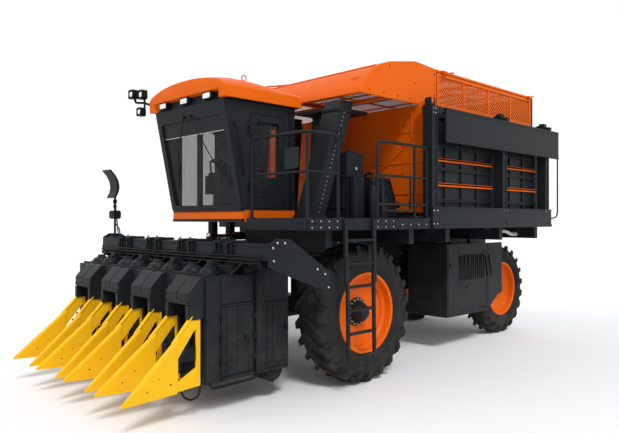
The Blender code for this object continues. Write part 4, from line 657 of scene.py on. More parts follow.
def make_side_cabinet(name, face, out):
    """The outer side of the header: doors with ribs, hinges and bolts, a proud post, a skid tube and a rear roller."""
    def span(low, high):
        return sorted((face + out * low, face + out * high))

    def block(low, high, y0, y1, z0, z1):
        return (*span(low, high), y0, y1, z0, z1)

    shell = Shell().boxes([
        block(-0.002, 0.012, -3.245, -3.075, 0.345, 1.40), block(-0.002, 0.016, -3.055, -2.625, 0.40, 1.125),
        block(0.010, 0.026, -2.985, -2.955, 0.42, 1.10), block(0.010, 0.026, -2.845, -2.805, 0.42, 1.10),
        block(0.010, 0.022, -2.700, -2.660, 0.42, 1.10), block(-0.002, 0.046, -2.605, -2.500, 0.355, 1.47),
        block(-0.002, 0.014, -2.480, -2.115, 0.44, 1.115), block(0.008, 0.024, -2.425, -2.395, 0.46, 1.09),
        block(0.008, 0.024, -2.345, -2.315, 0.46, 1.09), block(0.008, 0.018, -2.220, -2.190, 0.46, 1.09),
        block(-0.002, 0.010, -3.055, -2.625, 1.150, 1.44), block(-0.002, 0.010, -2.480, -2.130, 1.140, 1.44),
        block(-0.002, 0.022, -3.05, -2.13, 0.345, 0.375), block(0.008, 0.030, -3.050, -2.630, 1.128, 1.146),
        block(0.04, 0.052, -2.590, -2.515, 0.62, 0.80), block(0.04, 0.052, -2.590, -2.515, 1.20, 1.36)])
    piece(shell, f"cabinet_{name}", "header", "dark_satin", bevel=0.004)
    marks = Shell()
    side = "X" if out > 0 else "-X"
    x = face + out * 0.014
    marks.bolts(at(x, (-3.02, -2.91, -2.755), np.arange(0.45, 1.10, 0.09)), side, 0.009, 0.009)
    marks.bolts(at(face + out * 0.010, (-3.215, -3.105), np.arange(0.42, 1.36, 0.13)), side, 0.009, 0.007)
    marks.bolts(at(face + out * 0.012, (-2.455, -2.375, -2.255, -2.140), np.arange(0.50, 1.08, 0.11)), side, 0.008,
                0.008)
    marks.bolts(at(face + out * 0.044, (-2.585, -2.520), (0.42, 0.58, 0.90, 1.08, 1.42)), side, 0.010, 0.008)
    for y in (-3.055, -2.62):
        marks.boxes([block(0.012, 0.034, y - 0.014, y + 0.014, z, z + 0.07) for z in (0.52, 0.74, 0.96)])
    marks.boxes([block(0.014, 0.045, -2.75, -2.70, 0.74, 0.79), block(0.012, 0.040, -2.17, -2.13, 0.78, 0.83)])
    piece(marks, f"cabinet_fittings_{name}", "header", "black_plastic", smooth=25)
    low = Shell()
    x = face + out * 0.010
    low.tube([(x, -3.20, 0.37), (x, -3.18, 0.285), (x, -2.60, 0.30), (x, -2.55, 0.40)], 0.016, 8, 0.05)
    low.lathe([(0.0, 0.0), (0.0, 0.125), (0.02, 0.135), (0.26, 0.135), (0.28, 0.125), (0.28, 0.0)],
              (face - out * 0.02 - (0.28 if out > 0 else 0), -2.30, 0.335), "X", 28)
    low.tube([(face - out * 0.03, -2.46, 0.36), (face - out * 0.03, -2.44, 0.26), (face - out * 0.03, -2.30, 0.20)],
             0.014, 8, 0.05)
    piece(low, f"skid_{name}", "header", "black_plastic", smooth=40)


def make_beam():
    """Clamps, pipes, end-plate bolts and hoses' hard lines on the cross beam."""
    shell = Shell()
    y0, y1, z0, z1 = -2.81, -2.65, 1.62, 1.79
    for row in ROWS:
        for x in (row - 0.13, row + 0.09):
            shell.boxes([(x - 0.04, x - 0.028, y0 - 0.035, y1 + 0.03, 1.47, z1 + 0.03),
                         (x + 0.028, x + 0.04, y0 - 0.035, y1 + 0.03, 1.47, z1 + 0.03),
                         (x - 0.055, x + 0.055, y0 - 0.04, y1 + 0.035, z1 + 0.002, z1 + 0.018),
                         (x - 0.05, x + 0.05, y0 - 0.05, y0 - 0.03, 1.49, 1.60)])
            shell.tube([(x - 0.018, y0 - 0.03, z1 + 0.02), (x - 0.018, y0 - 0.03, z1 + 0.05),
                        (x + 0.018, y0 - 0.03, z1 + 0.05),
                        (x + 0.018, y0 - 0.03, z1 + 0.02)], 0.006, 6, 0.02)
        shell.boxes([(row - 0.30, row - 0.20, y0 - 0.03, y0 + 0.01, 1.64, 1.73),
                     (row + 0.16, row + 0.30, y1 - 0.01, y1 + 0.05, 1.66, 1.76)])
    shell.boxes([(-1.86, 1.86, y0 - 0.016, y0 + 0.002, z0 + 0.002, z0 + 0.022),
                 (-1.86, 1.86, y0 - 0.012, y0 + 0.002, z1 - 0.022, z1 - 0.004)])
    piece(shell, "beam_clamps", "header", "dark_satin", bevel=0.003)
    lines = Shell()
    for dz, r, dy in ((0.0, 0.010, 0.0), (-0.035, 0.010, 0.01), (-0.07, 0.013, 0.0)):
        lines.tube([(-1.80, y0 - 0.045 - dy, 1.66 + dz), (0.2, y0 - 0.05 - dy, 1.655 + dz),
                    (1.80, y0 - 0.045 - dy, 1.66 + dz)], r, 8, 0.2)
    for x in (-1.62, -0.80, -0.02, 0.74, 1.50):
        lines.tube([(x, y0 - 0.045, 1.60), (x, -2.92, 1.54), (x + 0.03, -3.02, 1.50), (x + 0.03, -3.04, 1.455)], 0.012,
                   8, 0.05)
        lines.tube([(x + 0.06, y1 + 0.01, 1.74), (x + 0.06, -2.52, 1.76), (x + 0.10, -2.44, 1.66),
                    (x + 0.10, -2.43, 1.455)], 0.013, 8, 0.06)
    piece(lines, "beam_pipes", "header", "black_plastic", smooth=50)
    bright = Shell()
    plate = [(-2.765, 1.755), (-2.705, 1.805), (-2.755, 1.62), (-2.60, 1.80), (-2.00, 1.44), (-1.945, 1.29),
             (-2.12, 1.50)]
    for side, axis in ((1, "X"), (-1, "-X")):
        spots = [(side * 1.885, y, z) for y, z in plate]
        bright.bolts(spots, axis, 0.014, 0.011)
    piece(bright, "beam_bolts", "header", "worn_steel", smooth=20)


def make_mirror():
    """The mirror: a curved glass in a thin frame, y = bow * (2 h - 0.8)^2 up its height, its box and clamps."""
    h = np.linspace(0.04, 0.96, 12)
    y = -2.75 - 0.09 * (2 * h - 0.8) ** 2 + 0.0395
    z = 2.36 + 0.40 * h
    shell = Shell().plate("X", np.r_[np.c_[y, z], np.c_[y[::-1] - 0.003, z[::-1]]], MIRROR_X - 0.098, MIRROR_X + 0.098)
    piece(shell, "mirror_glass", "header", "mirror_silver", smooth=60)
    shell = Shell().boxes([(-1.735, -1.585, -2.785, -2.765, 2.07, 2.17), (-1.72, -1.60, -2.68, -2.665, 2.08, 2.16)])
    shell.lathe([(-0.03, 0.0), (-0.03, 0.027), (0.03, 0.027), (0.03, 0.0)], (MIRROR_X, -2.73, 2.31), "Z", 16)
    shell.lathe([(-0.02, 0.0), (-0.02, 0.024), (0.02, 0.024), (0.02, 0.0)], (MIRROR_X, -2.73, 2.24), "Z", 16)
    shell.tube([(MIRROR_X, -2.73, 2.00), (-1.58, -2.70, 1.92), (-1.56, -2.70, 1.81)], 0.009, 8, 0.04)
    piece(shell, "mirror_box", "header", "black_plastic", bevel=0.003)


def make_header():
    """The picking header's pieces."""
    make_dividers()
    for number, row in enumerate(ROWS, 1):
        make_unit(number, row)
    make_side_cabinet("left", 1.38, 1)
    make_side_cabinet("right", -1.655, -1)
    make_beam()
    make_mirror()


# ============================================================ cab
def round_rect(a0, a1, b0, b1, bend, steps=5):
    """A rectangle's outline with quarter-circle corners: corner centre + bend * (cos t, sin t)."""
    parts = []
    for a, b, start in ((a1 - bend, b1 - bend, 0), (a0 + bend, b1 - bend, 90), (a0 + bend, b0 + bend, 180),
                        (a1 - bend, b0 + bend, 270)):
        turn = np.radians(np.linspace(start, start + 90, steps))
        parts.append(np.c_[a + bend * np.cos(turn), b + bend * np.sin(turn)])
    return np.concatenate(parts)


def leaned(shell, foot=2.165, share=0.27 / 1.335):
    """Tip the gathered points with the windscreen: y moves forward by share * (z - foot)."""
    for points in shell.points:
        points[:, 1] -= share * (points[:, 2] - foot)
    return shell


def make_cab_roof():
    """Crowned roof: height 0.17 + 0.20 hump (1 - |u|^2.5) over the base, hump = sin(pi min(1, 0.18 + 0.82 v))^0.8.

    u runs across from -1 to 1 and v from front to back.  Under the brow a recess 0.09 deep fades out at |u| = 0.86.
    """
    u, v = line(-1, 1, 45)[:, None], line(0, 1, 25)[None]
    base = 3.5003
    hump = np.sin(np.pi * np.minimum(1, 0.18 + 0.82 * v)) ** 0.8
    top = base + 0.17 + 0.20 * hump * (1 - np.abs(u) ** 2.5) - 0.03 * np.clip(np.abs(u) - 0.9, 0, 1) ** 2 / 0.01
    y = -2.66 + 1.27 * v + 0.025 * u ** 2 * (1 - v)
    deep = np.sqrt(np.clip((0.86 - np.abs(u)) / 0.10, 0, 1))
    face = y[:, :1] + 0 * u
    under_y = np.concatenate([face + 1.245, face + 0.012 + 0.09 * deep, face + 0.010 + 0.09 * deep, face + 0.006, face],
                             1)
    under_z = np.concatenate([0 * u + base, 0 * u + base, 3.588 + 0 * u, 3.600 + 0 * u, 3.618 + 0 * u], 1)
    profile = np.stack([np.broadcast_to(u * 0.86, (45, 30)), np.concatenate([y + 0 * u, under_y], 1),
                        np.concatenate([top, under_z], 1)], -1)
    shell = Shell().grids(profile)
    shell.lathe([(-0.008, 0.030), (-0.008, 0.042), (0.008, 0.042), (0.008, 0.030)], (0.42, -2.00, 3.875), "X", 20)
    piece(shell, "cab_roof_skin", "chassis", "orange_gloss", ["cab_roof"], bevel=0.008, smooth=40)
    lamps, lenses = Shell(), Shell()
    for x in (-0.50, 0.0, 0.50):
        lamps.plate("Y", round_rect(x - 0.095, x + 0.095, 3.506, 3.592, 0.02), -2.635, -2.57)
        lenses.plate("Y", round_rect(x - 0.072, x + 0.072, 3.518, 3.580, 0.016), -2.640, -2.634)
    lamps.boxes([(-0.74, 0.74, -2.572, -2.560, 3.5005, 3.598), (-0.84, 0.84, -2.55, -1.42, 3.492, 3.5005)])
    piece(lamps, "cab_roof_lamps", "chassis", "black_plastic", bevel=0.003)
    piece(lenses, "cab_roof_lenses", "chassis", "lamp_lens", smooth=30)


def make_cab_trim():
    """Window rims with rounded corners, sun band, wipers, grab handle, door seal and handle, wall seams."""
    rim = Shell().window("Y", round_rect(-0.782, 0.782, 2.170, 3.495, 0.03),
                         round_rect(-0.690, 0.690, 2.235, 3.320, 0.05), -2.314, -2.294)
    rim.boxes([(-0.71, 0.71, -2.290, -2.286, 3.135, 3.345)])
    for x in (-0.772, 0.772):
        rim.boxes([(x - 0.010, x + 0.010, -2.300, -2.240, 2.17, 3.49)])
    leaned(rim)
    rim.boxes([(-0.44, -0.38, -2.14, -2.08, 2.17, 3.49)])
    piece(rim, "windscreen_rim", "chassis", "dark_satin", bevel=0.003)
    # A bright steel strip along the sun band's lower edge is a painted highlight: it stands in for the thin light line
    # seen there.
    glint = leaned(Shell().boxes([(-0.69, 0.69, -2.2925, -2.2905, 3.128, 3.137)]))
    piece(glint, "sun_band_painted_highlight", "chassis", "worn_steel")
    wiper = Shell()
    for foot, elbow, tip in (((-0.10, 3.36), (-0.33, 2.98), (-0.45, 2.62)), ((0.04, 3.36), (0.30, 2.92), (0.52, 2.60))):
        wiper.tube([(foot[0], -2.33, foot[1]), (elbow[0], -2.335, elbow[1]), (tip[0], -2.325, tip[1])], 0.007, 8, 0.1)
        wiper.lathe([(-0.03, 0.0), (-0.03, 0.016), (0.02, 0.016), (0.02, 0.0)], (foot[0], -2.315, foot[1]), "Y", 12)
        slant = np.array([tip[0] - foot[0], tip[1] - foot[1]]) * 0.42
        wiper.tube([(tip[0] - slant[0] * 0.5, -2.316, tip[1] - slant[1] * 0.5),
                    (tip[0] + slant[0] * 0.5, -2.316, tip[1] + slant[1] * 0.5)], 0.010, 6)
    piece(leaned(wiper), "wipers", "chassis", "black_plastic", smooth=50)

    walls = Shell().tube([(0.778, -2.43, 3.22), (0.832, -2.43, 3.20), (0.840, -2.36, 2.90), (0.832, -2.31, 2.62),
                          (0.778, -2.31, 2.60)], 0.012, 10, 0.10)
    walls.window("X", round_rect(-2.205, -1.565, 2.19, 3.35, 0.04), round_rect(-2.17, -1.60, 2.225, 3.315, 0.05),
                 -0.790, -0.778)
    walls.window("Y", round_rect(-0.47, 0.47, 2.58, 3.36, 0.04), round_rect(-0.43, 0.43, 2.62, 3.32, 0.05), -1.442,
                 -1.430)
    walls.window("X", round_rect(-2.176, -1.634, 2.166, 3.378, 0.03), round_rect(-2.162, -1.648, 2.182, 3.35, 0.03),
                 0.7795, 0.784)
    walls.boxes([(-0.70, 0.70, -1.441, -1.434, 2.30, 2.312), (-0.70, 0.70, -1.441, -1.434, 2.48, 2.492),
                 (-0.783, 0.783, -1.46, -1.436, 3.40, 3.49)])
    walls.boxes([(0.779, 0.786, -1.55, -1.50, 2.20, 3.46), (-0.786, -0.779, -1.55, -1.50, 2.20, 3.46)])
    piece(walls, "cab_wall_trim", "chassis", "black_plastic", bevel=0.002, smooth=45)

    # Two dark bands on the orange skirt. The lower one is painted shade: a dark strip standing in for the shaded
    # underside of the bowed lower face. The thin upper one is a seam.
    skirt = Shell()
    x = line(-0.784, 0.784, 33)
    bow = -2.30 - 0.05 * (1 - (x / 0.78) ** 2) - 0.006
    for z0, z1, out in ((2.022, 2.058, 0.0), (2.148, 2.164, 0.0)):
        outer = np.c_[x, bow - out]
        skirt.plate("Z", np.r_[outer, np.c_[x[::-1], bow[::-1] + 0.03]], z0, z1)
    piece(skirt, "cab_skirt_shade_band_and_seam", "chassis", "dark_satin", smooth=40)

    door = Shell().window("X", round_rect(-2.165, -1.647, 2.190, 3.345, 0.03),
                          round_rect(-2.105, -1.708, 2.265, 3.275, 0.06), 0.7775, 0.7815)
    door.window("X", round_rect(-2.115, -1.698, 2.255, 3.285, 0.05), round_rect(-2.100, -1.713, 2.272, 3.268, 0.05),
                0.7815, 0.786)
    door.boxes([(0.7775, 0.794, -1.685, -1.660, 2.56, 2.70)])
    door.tube([(0.780, -1.672, 2.74), (0.815, -1.672, 2.74), (0.815, -1.672, 2.90), (0.780, -1.672, 2.90)], 0.007, 8,
              0.02)
    for z in DOOR_HINGES:
        door.boxes([(0.7775, 0.786, -2.165, -2.05, z - 0.022, z + 0.022)])
    piece(door, "cab_door_trim", "cab_door", "dark_satin", bevel=0.002)


def make_light_bar():
    """Lamp housings with bezels and white lenses on the bent bracket."""
    body, lens = Shell(), Shell()
    for (x, y, z), size in (((-0.990, -2.65, 3.77), 0.13), ((-1.160, -2.70, 3.79), 0.13),
                            ((-0.990, -2.67, 3.53), 0.12)):
        h = size / 2 - 0.002
        body.plate("Y", round_rect(x - h, x + h, z - h, z + h, 0.02), y - 0.045, y + 0.030)
        body.plate("Y", round_rect(x - h * 0.6, x + h * 0.6, z - h * 0.6, z + h * 0.6, 0.02), y + 0.028, y + 0.045)
        body.window("Y", round_rect(x - h, x + h, z - h, z + h, 0.02),
                    round_rect(x - h + 0.012, x + h - 0.012, z - h + 0.012, z + h - 0.012, 0.02), y - 0.056, y - 0.044)
        lens.lathe([(-0.004, 0.0), (-0.004, h * 0.55), (0.004, h * 0.62), (0.004, 0.0)], (x, y - 0.046, z), "Y", 24)
    body.tube([(-0.870, -2.55, 3.60), (-0.98, -2.63, 3.66), (-1.16, -2.68, 3.68), (-1.16, -2.68, 3.74)], 0.016, 10,
              0.05)
    body.tube([(-0.990, -2.63, 3.56), (-0.990, -2.63, 3.76)], 0.014, 10)
    body.boxes([(-0.905, -0.862, -2.60, -2.46, 3.545, 3.655)])
    piece(body, "lamp_housings", "chassis", "black_plastic", ["light_bar"], bevel=0.003, smooth=40)
    piece(lens, "lamp_lenses", "chassis", "lamp_lens", smooth=60)


def padded(name, low, high, bend, channels, cap, lean=0.0, flat=None):
    """A stuffed pad: a rounded block is remeshed, blown up as cloth under pressure, held to a cap, and sewn.

    A channel at x = c lowers the surface by 0.006 exp(-((x - c) / 0.006)^2); lean shears the pad in y up its height.
    """
    low, high = np.array(low), np.array(high)
    shell = Shell().plate("Z", round_rect(low[0], high[0], low[1], high[1], bend, 8), low[2], high[2])
    obj = piece(shell, name, "chassis", "seat_cloth", bevel=min(bend, 0.4 * min(high - low)), smooth=60,
                segments=4)
    remesh = obj.modifiers.new("even", "REMESH")
    remesh.mode, remesh.voxel_size, remesh.use_smooth_shade = "VOXEL", 0.006, True
    ready = bpy.data.meshes.new_from_object(obj.evaluated_get(bpy.context.evaluated_depsgraph_get()))
    ready.materials.clear()
    ready.materials.append(FINISHES["seat_cloth"])
    obj.modifiers.clear()
    obj.data = ready
    start = np.empty(len(ready.vertices) * 3)
    ready.vertices.foreach_get("co", start)
    start = start.reshape(-1, 3)
    moved = start
    cloth = obj.modifiers.new("fill", "CLOTH")
    settings = cloth.settings
    settings.use_pressure = True
    settings.uniform_pressure_force = 4.0
    settings.effector_weights.gravity = 0.0
    settings.quality = 4
    cloth.collision_settings.use_collision = False
    scene = bpy.context.scene
    for frame_number in range(1, 21):
        scene.frame_set(frame_number)
    swollen = obj.evaluated_get(bpy.context.evaluated_depsgraph_get()).to_mesh()
    moved = np.empty(len(swollen.vertices) * 3)
    swollen.vertices.foreach_get("co", moved)
    moved = moved.reshape(-1, 3)
    obj.modifiers.clear()
    scene.frame_set(1)
    step = moved - start
    length = np.linalg.norm(step, axis=1, keepdims=True)
    points = start + step * np.minimum(1, cap / np.maximum(length, 1e-9))
    middle, half = (low + high) / 2, (high - low) / 2
    inward = (middle - points) / half
    dip = sum(0.006 * np.exp(-((points[:, 0] - c) / 0.006) ** 2) for c in channels)
    thin = 2 if lean == 0 else 1
    points[:, thin] += dip * np.sign(inward[:, thin])
    if flat is not None:
        points[:, 2] = np.maximum(points[:, 2], flat)
    points[:, 1] += lean * (points[:, 2] - low[2])
    ready.vertices.foreach_set("co", points.ravel())
    ready.update()
    soften = obj.modifiers.new("soften", "SUBSURF")
    soften.levels = soften.render_levels = 1
    return obj


def make_seat():
    """The driver's padded seat with its arms, and the lever box beside it."""
    cushion = padded("seat_pad", (-0.222, -1.978, 2.534), (0.222, -1.645, 2.622), 0.05, (-0.10, 0.10), 0.010,
                     flat=2.5306)
    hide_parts("seat_cushion")
    padded("seat_back_pad", (-0.205, -1.668, 2.665), (0.205, -1.622, 3.06), 0.02, (-0.09, 0.09), 0.008, lean=0.108)
    seat = Shell().boxes([(0.255, 0.305, -1.90, -1.62, 2.74, 2.775), (-0.305, -0.255, -1.90, -1.62, 2.74, 2.775),
                          (0.262, 0.298, -1.60, -1.55, 2.50, 2.78), (-0.298, -0.262, -1.60, -1.55, 2.50, 2.78)])
    seat.boxes([(-0.48, -0.34, -1.98, -1.56, 2.40, 2.66), (-0.45, -0.37, -1.95, -1.88, 2.66, 2.70)])
    seat.tube([(-0.41, -1.92, 2.68), (-0.41, -1.94, 2.80), (-0.40, -1.95, 2.86)], 0.014, 10)
    seat.plate("Y", round_rect(-0.13, 0.13, 3.10, 3.26, 0.05), -1.58, -1.51)
    seat.tube([(-0.06, -1.54, 3.06), (-0.06, -1.54, 3.14)], 0.008, 8)
    seat.tube([(0.06, -1.54, 3.06), (0.06, -1.54, 3.14)], 0.008, 8)
    seat.boxes([(0.20, 0.42, -2.21, -2.17, 2.80, 2.98)])
    seat.tube([(0.31, -2.18, 2.17), (0.31, -2.18, 2.82)], 0.012, 8)
    piece(seat, "seat_arms_and_levers", "chassis", "black_plastic", bevel=0.006, smooth=40)


def make_cab():
    """The cab's pieces."""
    make_cab_roof()
    make_cab_trim()
    make_light_bar()
    make_seat()


# ============================================================ basket
def make_screen_finish(name, first, second):
    """Orange sheet full of round holes: alpha is the distance from the nearest hole centre on a slanted grid.

    With a = (first + second) / pitch and b = (first - second) / pitch, a point is open where
    (frac a - 0.5)^2 + (frac b - 0.5)^2 < 0.31^2.
    """
    material = painted(name, tuple(bpy.context.scene.picker_finish.orange), 0.4, 0.05, 0.1, gloss=0.09)
    tree = material.node_tree
    shader = tree.nodes["Principled BSDF"]
    group = tree.nodes.new("ShaderNodeGroup")
    group.node_tree = HOLES
    place = tree.nodes.new("ShaderNodeSeparateXYZ")
    tree.links.new(tree.nodes.new("ShaderNodeTexCoord").outputs["Object"], place.inputs[0])
    tree.links.new(place.outputs[first], group.inputs["First"])
    tree.links.new(place.outputs[second], group.inputs["Second"])
    tree.links.new(group.outputs["Cover"], shader.inputs["Alpha"])


def make_holes_group():
    """A mask that is 1 on the sheet and 0 in its holes."""
    group, source, sink = new_group(
        "punched_holes", [("First", "NodeSocketFloat", 0.0), ("Second", "NodeSocketFloat", 0.0),
                          ("Pitch", "NodeSocketFloat", 0.062)], [("Cover", "NodeSocketFloat")])
    squares = []
    for operation in ("ADD", "SUBTRACT"):
        slant = math_node(group, operation, source.outputs["First"], source.outputs["Second"])
        cell = math_node(group, "FRACT", math_node(group, "DIVIDE", slant, source.outputs["Pitch"]))
        middle = math_node(group, "SUBTRACT", cell, 0.5)
        squares.append(math_node(group, "MULTIPLY", middle, middle))
    cover = math_node(group, "GREATER_THAN", math_node(group, "ADD", *squares), 0.33 ** 2)
    group.links.new(cover, sink.inputs["Cover"])
    return group


HOLES = make_holes_group()
HOOD_OUTER = ((-1.043, 3.664), (-1.040, 3.700), (-0.985, 3.790), (-0.900, 3.890), (-0.790, 4.005), (-0.640, 4.090),
              (-0.450, 4.158), (-0.160, 4.213), (0.128, 4.262), (0.380, 4.250), (0.630, 4.233))


def make_hood():
    """The basket's front hood: a skin carried across along its side profile, side plates, seams, bolts and rails."""
    outer = np.array(HOOD_OUTER)
    along = unit(np.gradient(outer, axis=0))
    inner = outer + np.c_[along[:, 1], -along[:, 0]] * 0.03
    shell = Shell().plate("X", np.r_[outer, inner[::-1]], -1.545, 1.545)
    side = np.r_[outer, [(0.630, 3.664)]]
    for low, high in ((-1.568, -1.540), (1.540, 1.568)):
        shell.plate("X", side, low, high)
    piece(shell, "hood_skin", "basket", "orange_gloss", ["basket_hood"], bevel=0.010, smooth=30)
    trim = Shell()
    for x in (-1.05, -0.52, 0.0, 0.52, 1.05):
        rib = np.r_[outer[1:] + (0, -0.004), (outer[1:] + np.c_[-along[1:, 1], along[1:, 0]] * 0.002)[::-1]]
        trim.plate("X", rib, x - 0.012, x + 0.012)
    for y, z in ((-0.66, 4.082), (-0.20, 4.205)):
        trim.tube([(-1.50, y, z), (1.50, y, z)], 0.014, 8)
    trim.tube([(-1.50, 0.10, 4.248), (1.50, 0.10, 4.248)], 0.012, 8)
    trim.tube([(-1.46, -0.74, 4.03), (-1.46, -0.74, 4.18), (-1.30, -0.50, 4.220), (-1.05, -0.10, 4.240),
               (-0.80, 0.10, 4.246)], 0.016, 8, 0.15)
    trim.tube([(-1.00, -0.72, 4.04), (-1.00, -0.72, 4.15), (-0.70, -0.30, 4.215), (-0.5, 0.0, 4.245)], 0.014, 8, 0.15)
    trim.boxes([(-1.36, -1.24, -0.80, -0.70, 3.98, 4.13), (-1.18, -1.10, -0.80, -0.72, 3.98, 4.10),
                (-1.53, -1.45, -0.84, -0.70, 3.92, 4.08),
                (1.30, 1.42, -0.92, -0.86, 3.84, 3.90)])
    piece(trim, "hood_rails", "basket", "orange_gloss", bevel=0.003, smooth=40)
    bolts = Shell()
    for x, axis in ((1.568, "X"), (-1.568, "-X")):
        spots = np.c_[np.full(6, x), line(-0.86, 0.58, 6), np.full(6, 3.72)]
        bolts.bolts(spots, axis, 0.010, 0.006)
        bolts.bolts([(x, 0.58, 3.85), (x, 0.58, 4.0), (x, 0.58, 4.15), (x, -0.45, 4.10), (x, -0.05, 4.19),
                     (x, 0.12, 3.95)], axis, 0.010, 0.006)
    piece(bolts, "hood_bolts", "basket", "black_plastic", smooth=20)
    under = Shell().boxes([(-1.53, 1.53, y, y + 0.05, 3.675, 3.72) for y in (-0.97, -0.45, 0.52)])
    piece(under, "hood_cross_bars", "basket", "orange_gloss", bevel=0.003)


def make_screens():
    """The punched upper screens: the door on the left, the fixed one on the right, the top, and their frames."""
    y0, y1 = 0.652, 3.556
    z0, z1 = 3.702, 4.188
    door = Shell()
    door.window("X", [(y0, z0), (y1, z0), (y1, z1), (y0, z1)],
                [(y0 + 0.05, z0 + 0.045), (y1 - 0.05, z0 + 0.045), (y1 - 0.05, z1 - 0.045), (y0 + 0.05, z1 - 0.045)],
                1.537, 1.569)
    door.boxes([(1.545, 1.566, y - 0.015, y + 0.015, z0 + 0.02, z1 - 0.02) for y in line(y0, y1, 5)[1:-1]])
    for y in SCREEN_HINGES:
        door.lathe([(-0.029, 0.010), (-0.029, 0.018), (0.029, 0.018), (0.029, 0.010)],
                   (SCREEN_PIN[0], y, SCREEN_PIN[1]), "Y", 16)
        door.plate("Y", [(1.562, 4.165), (1.592, 4.165), (1.620, 4.199), (1.590, 4.200), (1.565, 4.186)], y - 0.029,
                   y + 0.029)
    piece(door, "screen_door_frame", "screen_door", "orange_gloss", ["screen_door"], bevel=0.003)
    sheet = Shell().boxes([(1.5495, 1.5525, y0 + 0.03, y1 - 0.03, z0 + 0.03, z1 - 0.03)])
    piece(sheet, "screen_door_sheet", "screen_door", "orange_screen_side")
    roof = Shell().window("Z", [(-1.568, 0.636), (1.568, 0.636), (1.568, 3.618), (-1.568, 3.618)],
                          [(-1.50, 0.70), (1.50, 0.70), (1.50, 3.55), (-1.50, 3.55)], 4.202, 4.234)
    roof.boxes([(-1.51, 1.51, y - 0.018, y + 0.018, 4.204, 4.228) for y in line(0.67, 3.58, 6)[1:-1]])
    roof.boxes([(x - 0.018, x + 0.018, 0.69, 3.56, 4.200, 4.226) for x in (-0.75, 0.0, 0.75)])
    roof.window("X", [(0.636, 3.662), (3.566, 3.662), (3.566, 4.204), (0.636, 4.204)],
                [(0.69, 3.71), (3.51, 3.71), (3.51, 4.15), (0.69, 4.15)], -1.568, -1.537)
    roof.boxes([(-1.566, -1.545, y - 0.015, y + 0.015, 3.68, 4.19) for y in line(0.65, 3.55, 5)[1:-1]])
    for y in SCREEN_HINGES:
        for end in (-1, 1):
            roof.boxes([(1.552, 1.618, *sorted((y + end * 0.037, y + end * 0.055)), 4.196, 4.230)])
        roof.lathe([(-0.057, 0.0), (-0.057, 0.0085), (0.057, 0.0085), (0.057, 0.0)], (SCREEN_PIN[0], y, SCREEN_PIN[1]),
                   "Y", 12)
    roof.tube([(1.45, 3.585, 4.225), (1.50, 3.60, 4.246), (1.60, 3.60, 4.246)], 0.012, 8, 0.03)
    roof.tube([(1.45, 1.00, 4.225), (1.50, 1.02, 4.246), (1.60, 1.05, 4.246)], 0.012, 8, 0.03)
    piece(roof, "basket_top_frame", "basket", "orange_gloss", ["basket_roof"], bevel=0.003)
    piece(Shell().boxes([(-1.53, 1.53, 0.66, 3.59, 4.2155, 4.2185)]), "basket_top_sheet", "basket",
          "orange_screen_top")
    piece(Shell().boxes([(-1.5535, -1.5505, 0.66, 3.54, 3.68, 4.19)]), "basket_right_screen", "basket",
          "orange_screen_side")


def make_wall_ribs():
    """Bars and ribs on the basket's sides and back: orange and dark level bars and dark ribs between the masts."""
    bays = ((0.205, 1.915), (2.085, 3.385))
    orange, dark = Shell(), Shell()
    for out in (-1, 1):
        def x(low, high):
            return sorted((out * (1.70 + low), out * (1.70 + high)))
        for y0, y1 in bays:
            for z in (2.555, 2.905):
                orange.boxes([(*x(-0.004, 0.046), y0, y1, z - 0.016, z + 0.016),
                              (*x(0.030, 0.046), y0, y1, z - 0.034, z + 0.012)])
            for z in (2.33, 2.775, 3.10, 3.52):
                dark.boxes([(*x(-0.004, 0.040), y0, y1, z - 0.014, z + 0.014),
                            (*x(0.026, 0.040), y0, y1, z - 0.030, z)])
            count = 5 if y1 - y0 > 1.5 else 4
            dark.boxes([(*x(-0.004, 0.026), y - 0.016, y + 0.016, 2.18, 3.60) for y in line(y0, y1, count)[1:-1]])
            dark.boxes([(*x(-0.004, 0.030), y - 0.02, y + 0.02, 2.17, 3.62) for y in (y0 + 0.02, y1 - 0.02)])
        orange.boxes([(*x(-0.04, 0.006), 3.575, 3.628, 2.155, 3.655)])
    for z in (2.40, 2.90, 3.40):
        dark.boxes([(-1.66, 1.66, 3.616, 3.655, z - 0.02, z + 0.02)])
    dark.boxes([(x - 0.02, x + 0.02, 3.616, 3.645, 2.18, 3.64) for x in line(-1.5, 1.5, 7)])
    orange.boxes([(-1.545, 1.545, 3.616, 3.640, 3.66, 3.70), (-1.56, -1.50, 3.616, 3.640, 3.70, 4.19),
                  (1.50, 1.56, 3.616, 3.640, 3.70, 4.19)])
    piece(orange, "basket_orange_bars", "basket", "orange_gloss", bevel=0.003)
    piece(dark, "basket_ribs", "basket", "dark_satin", bevel=0.003)


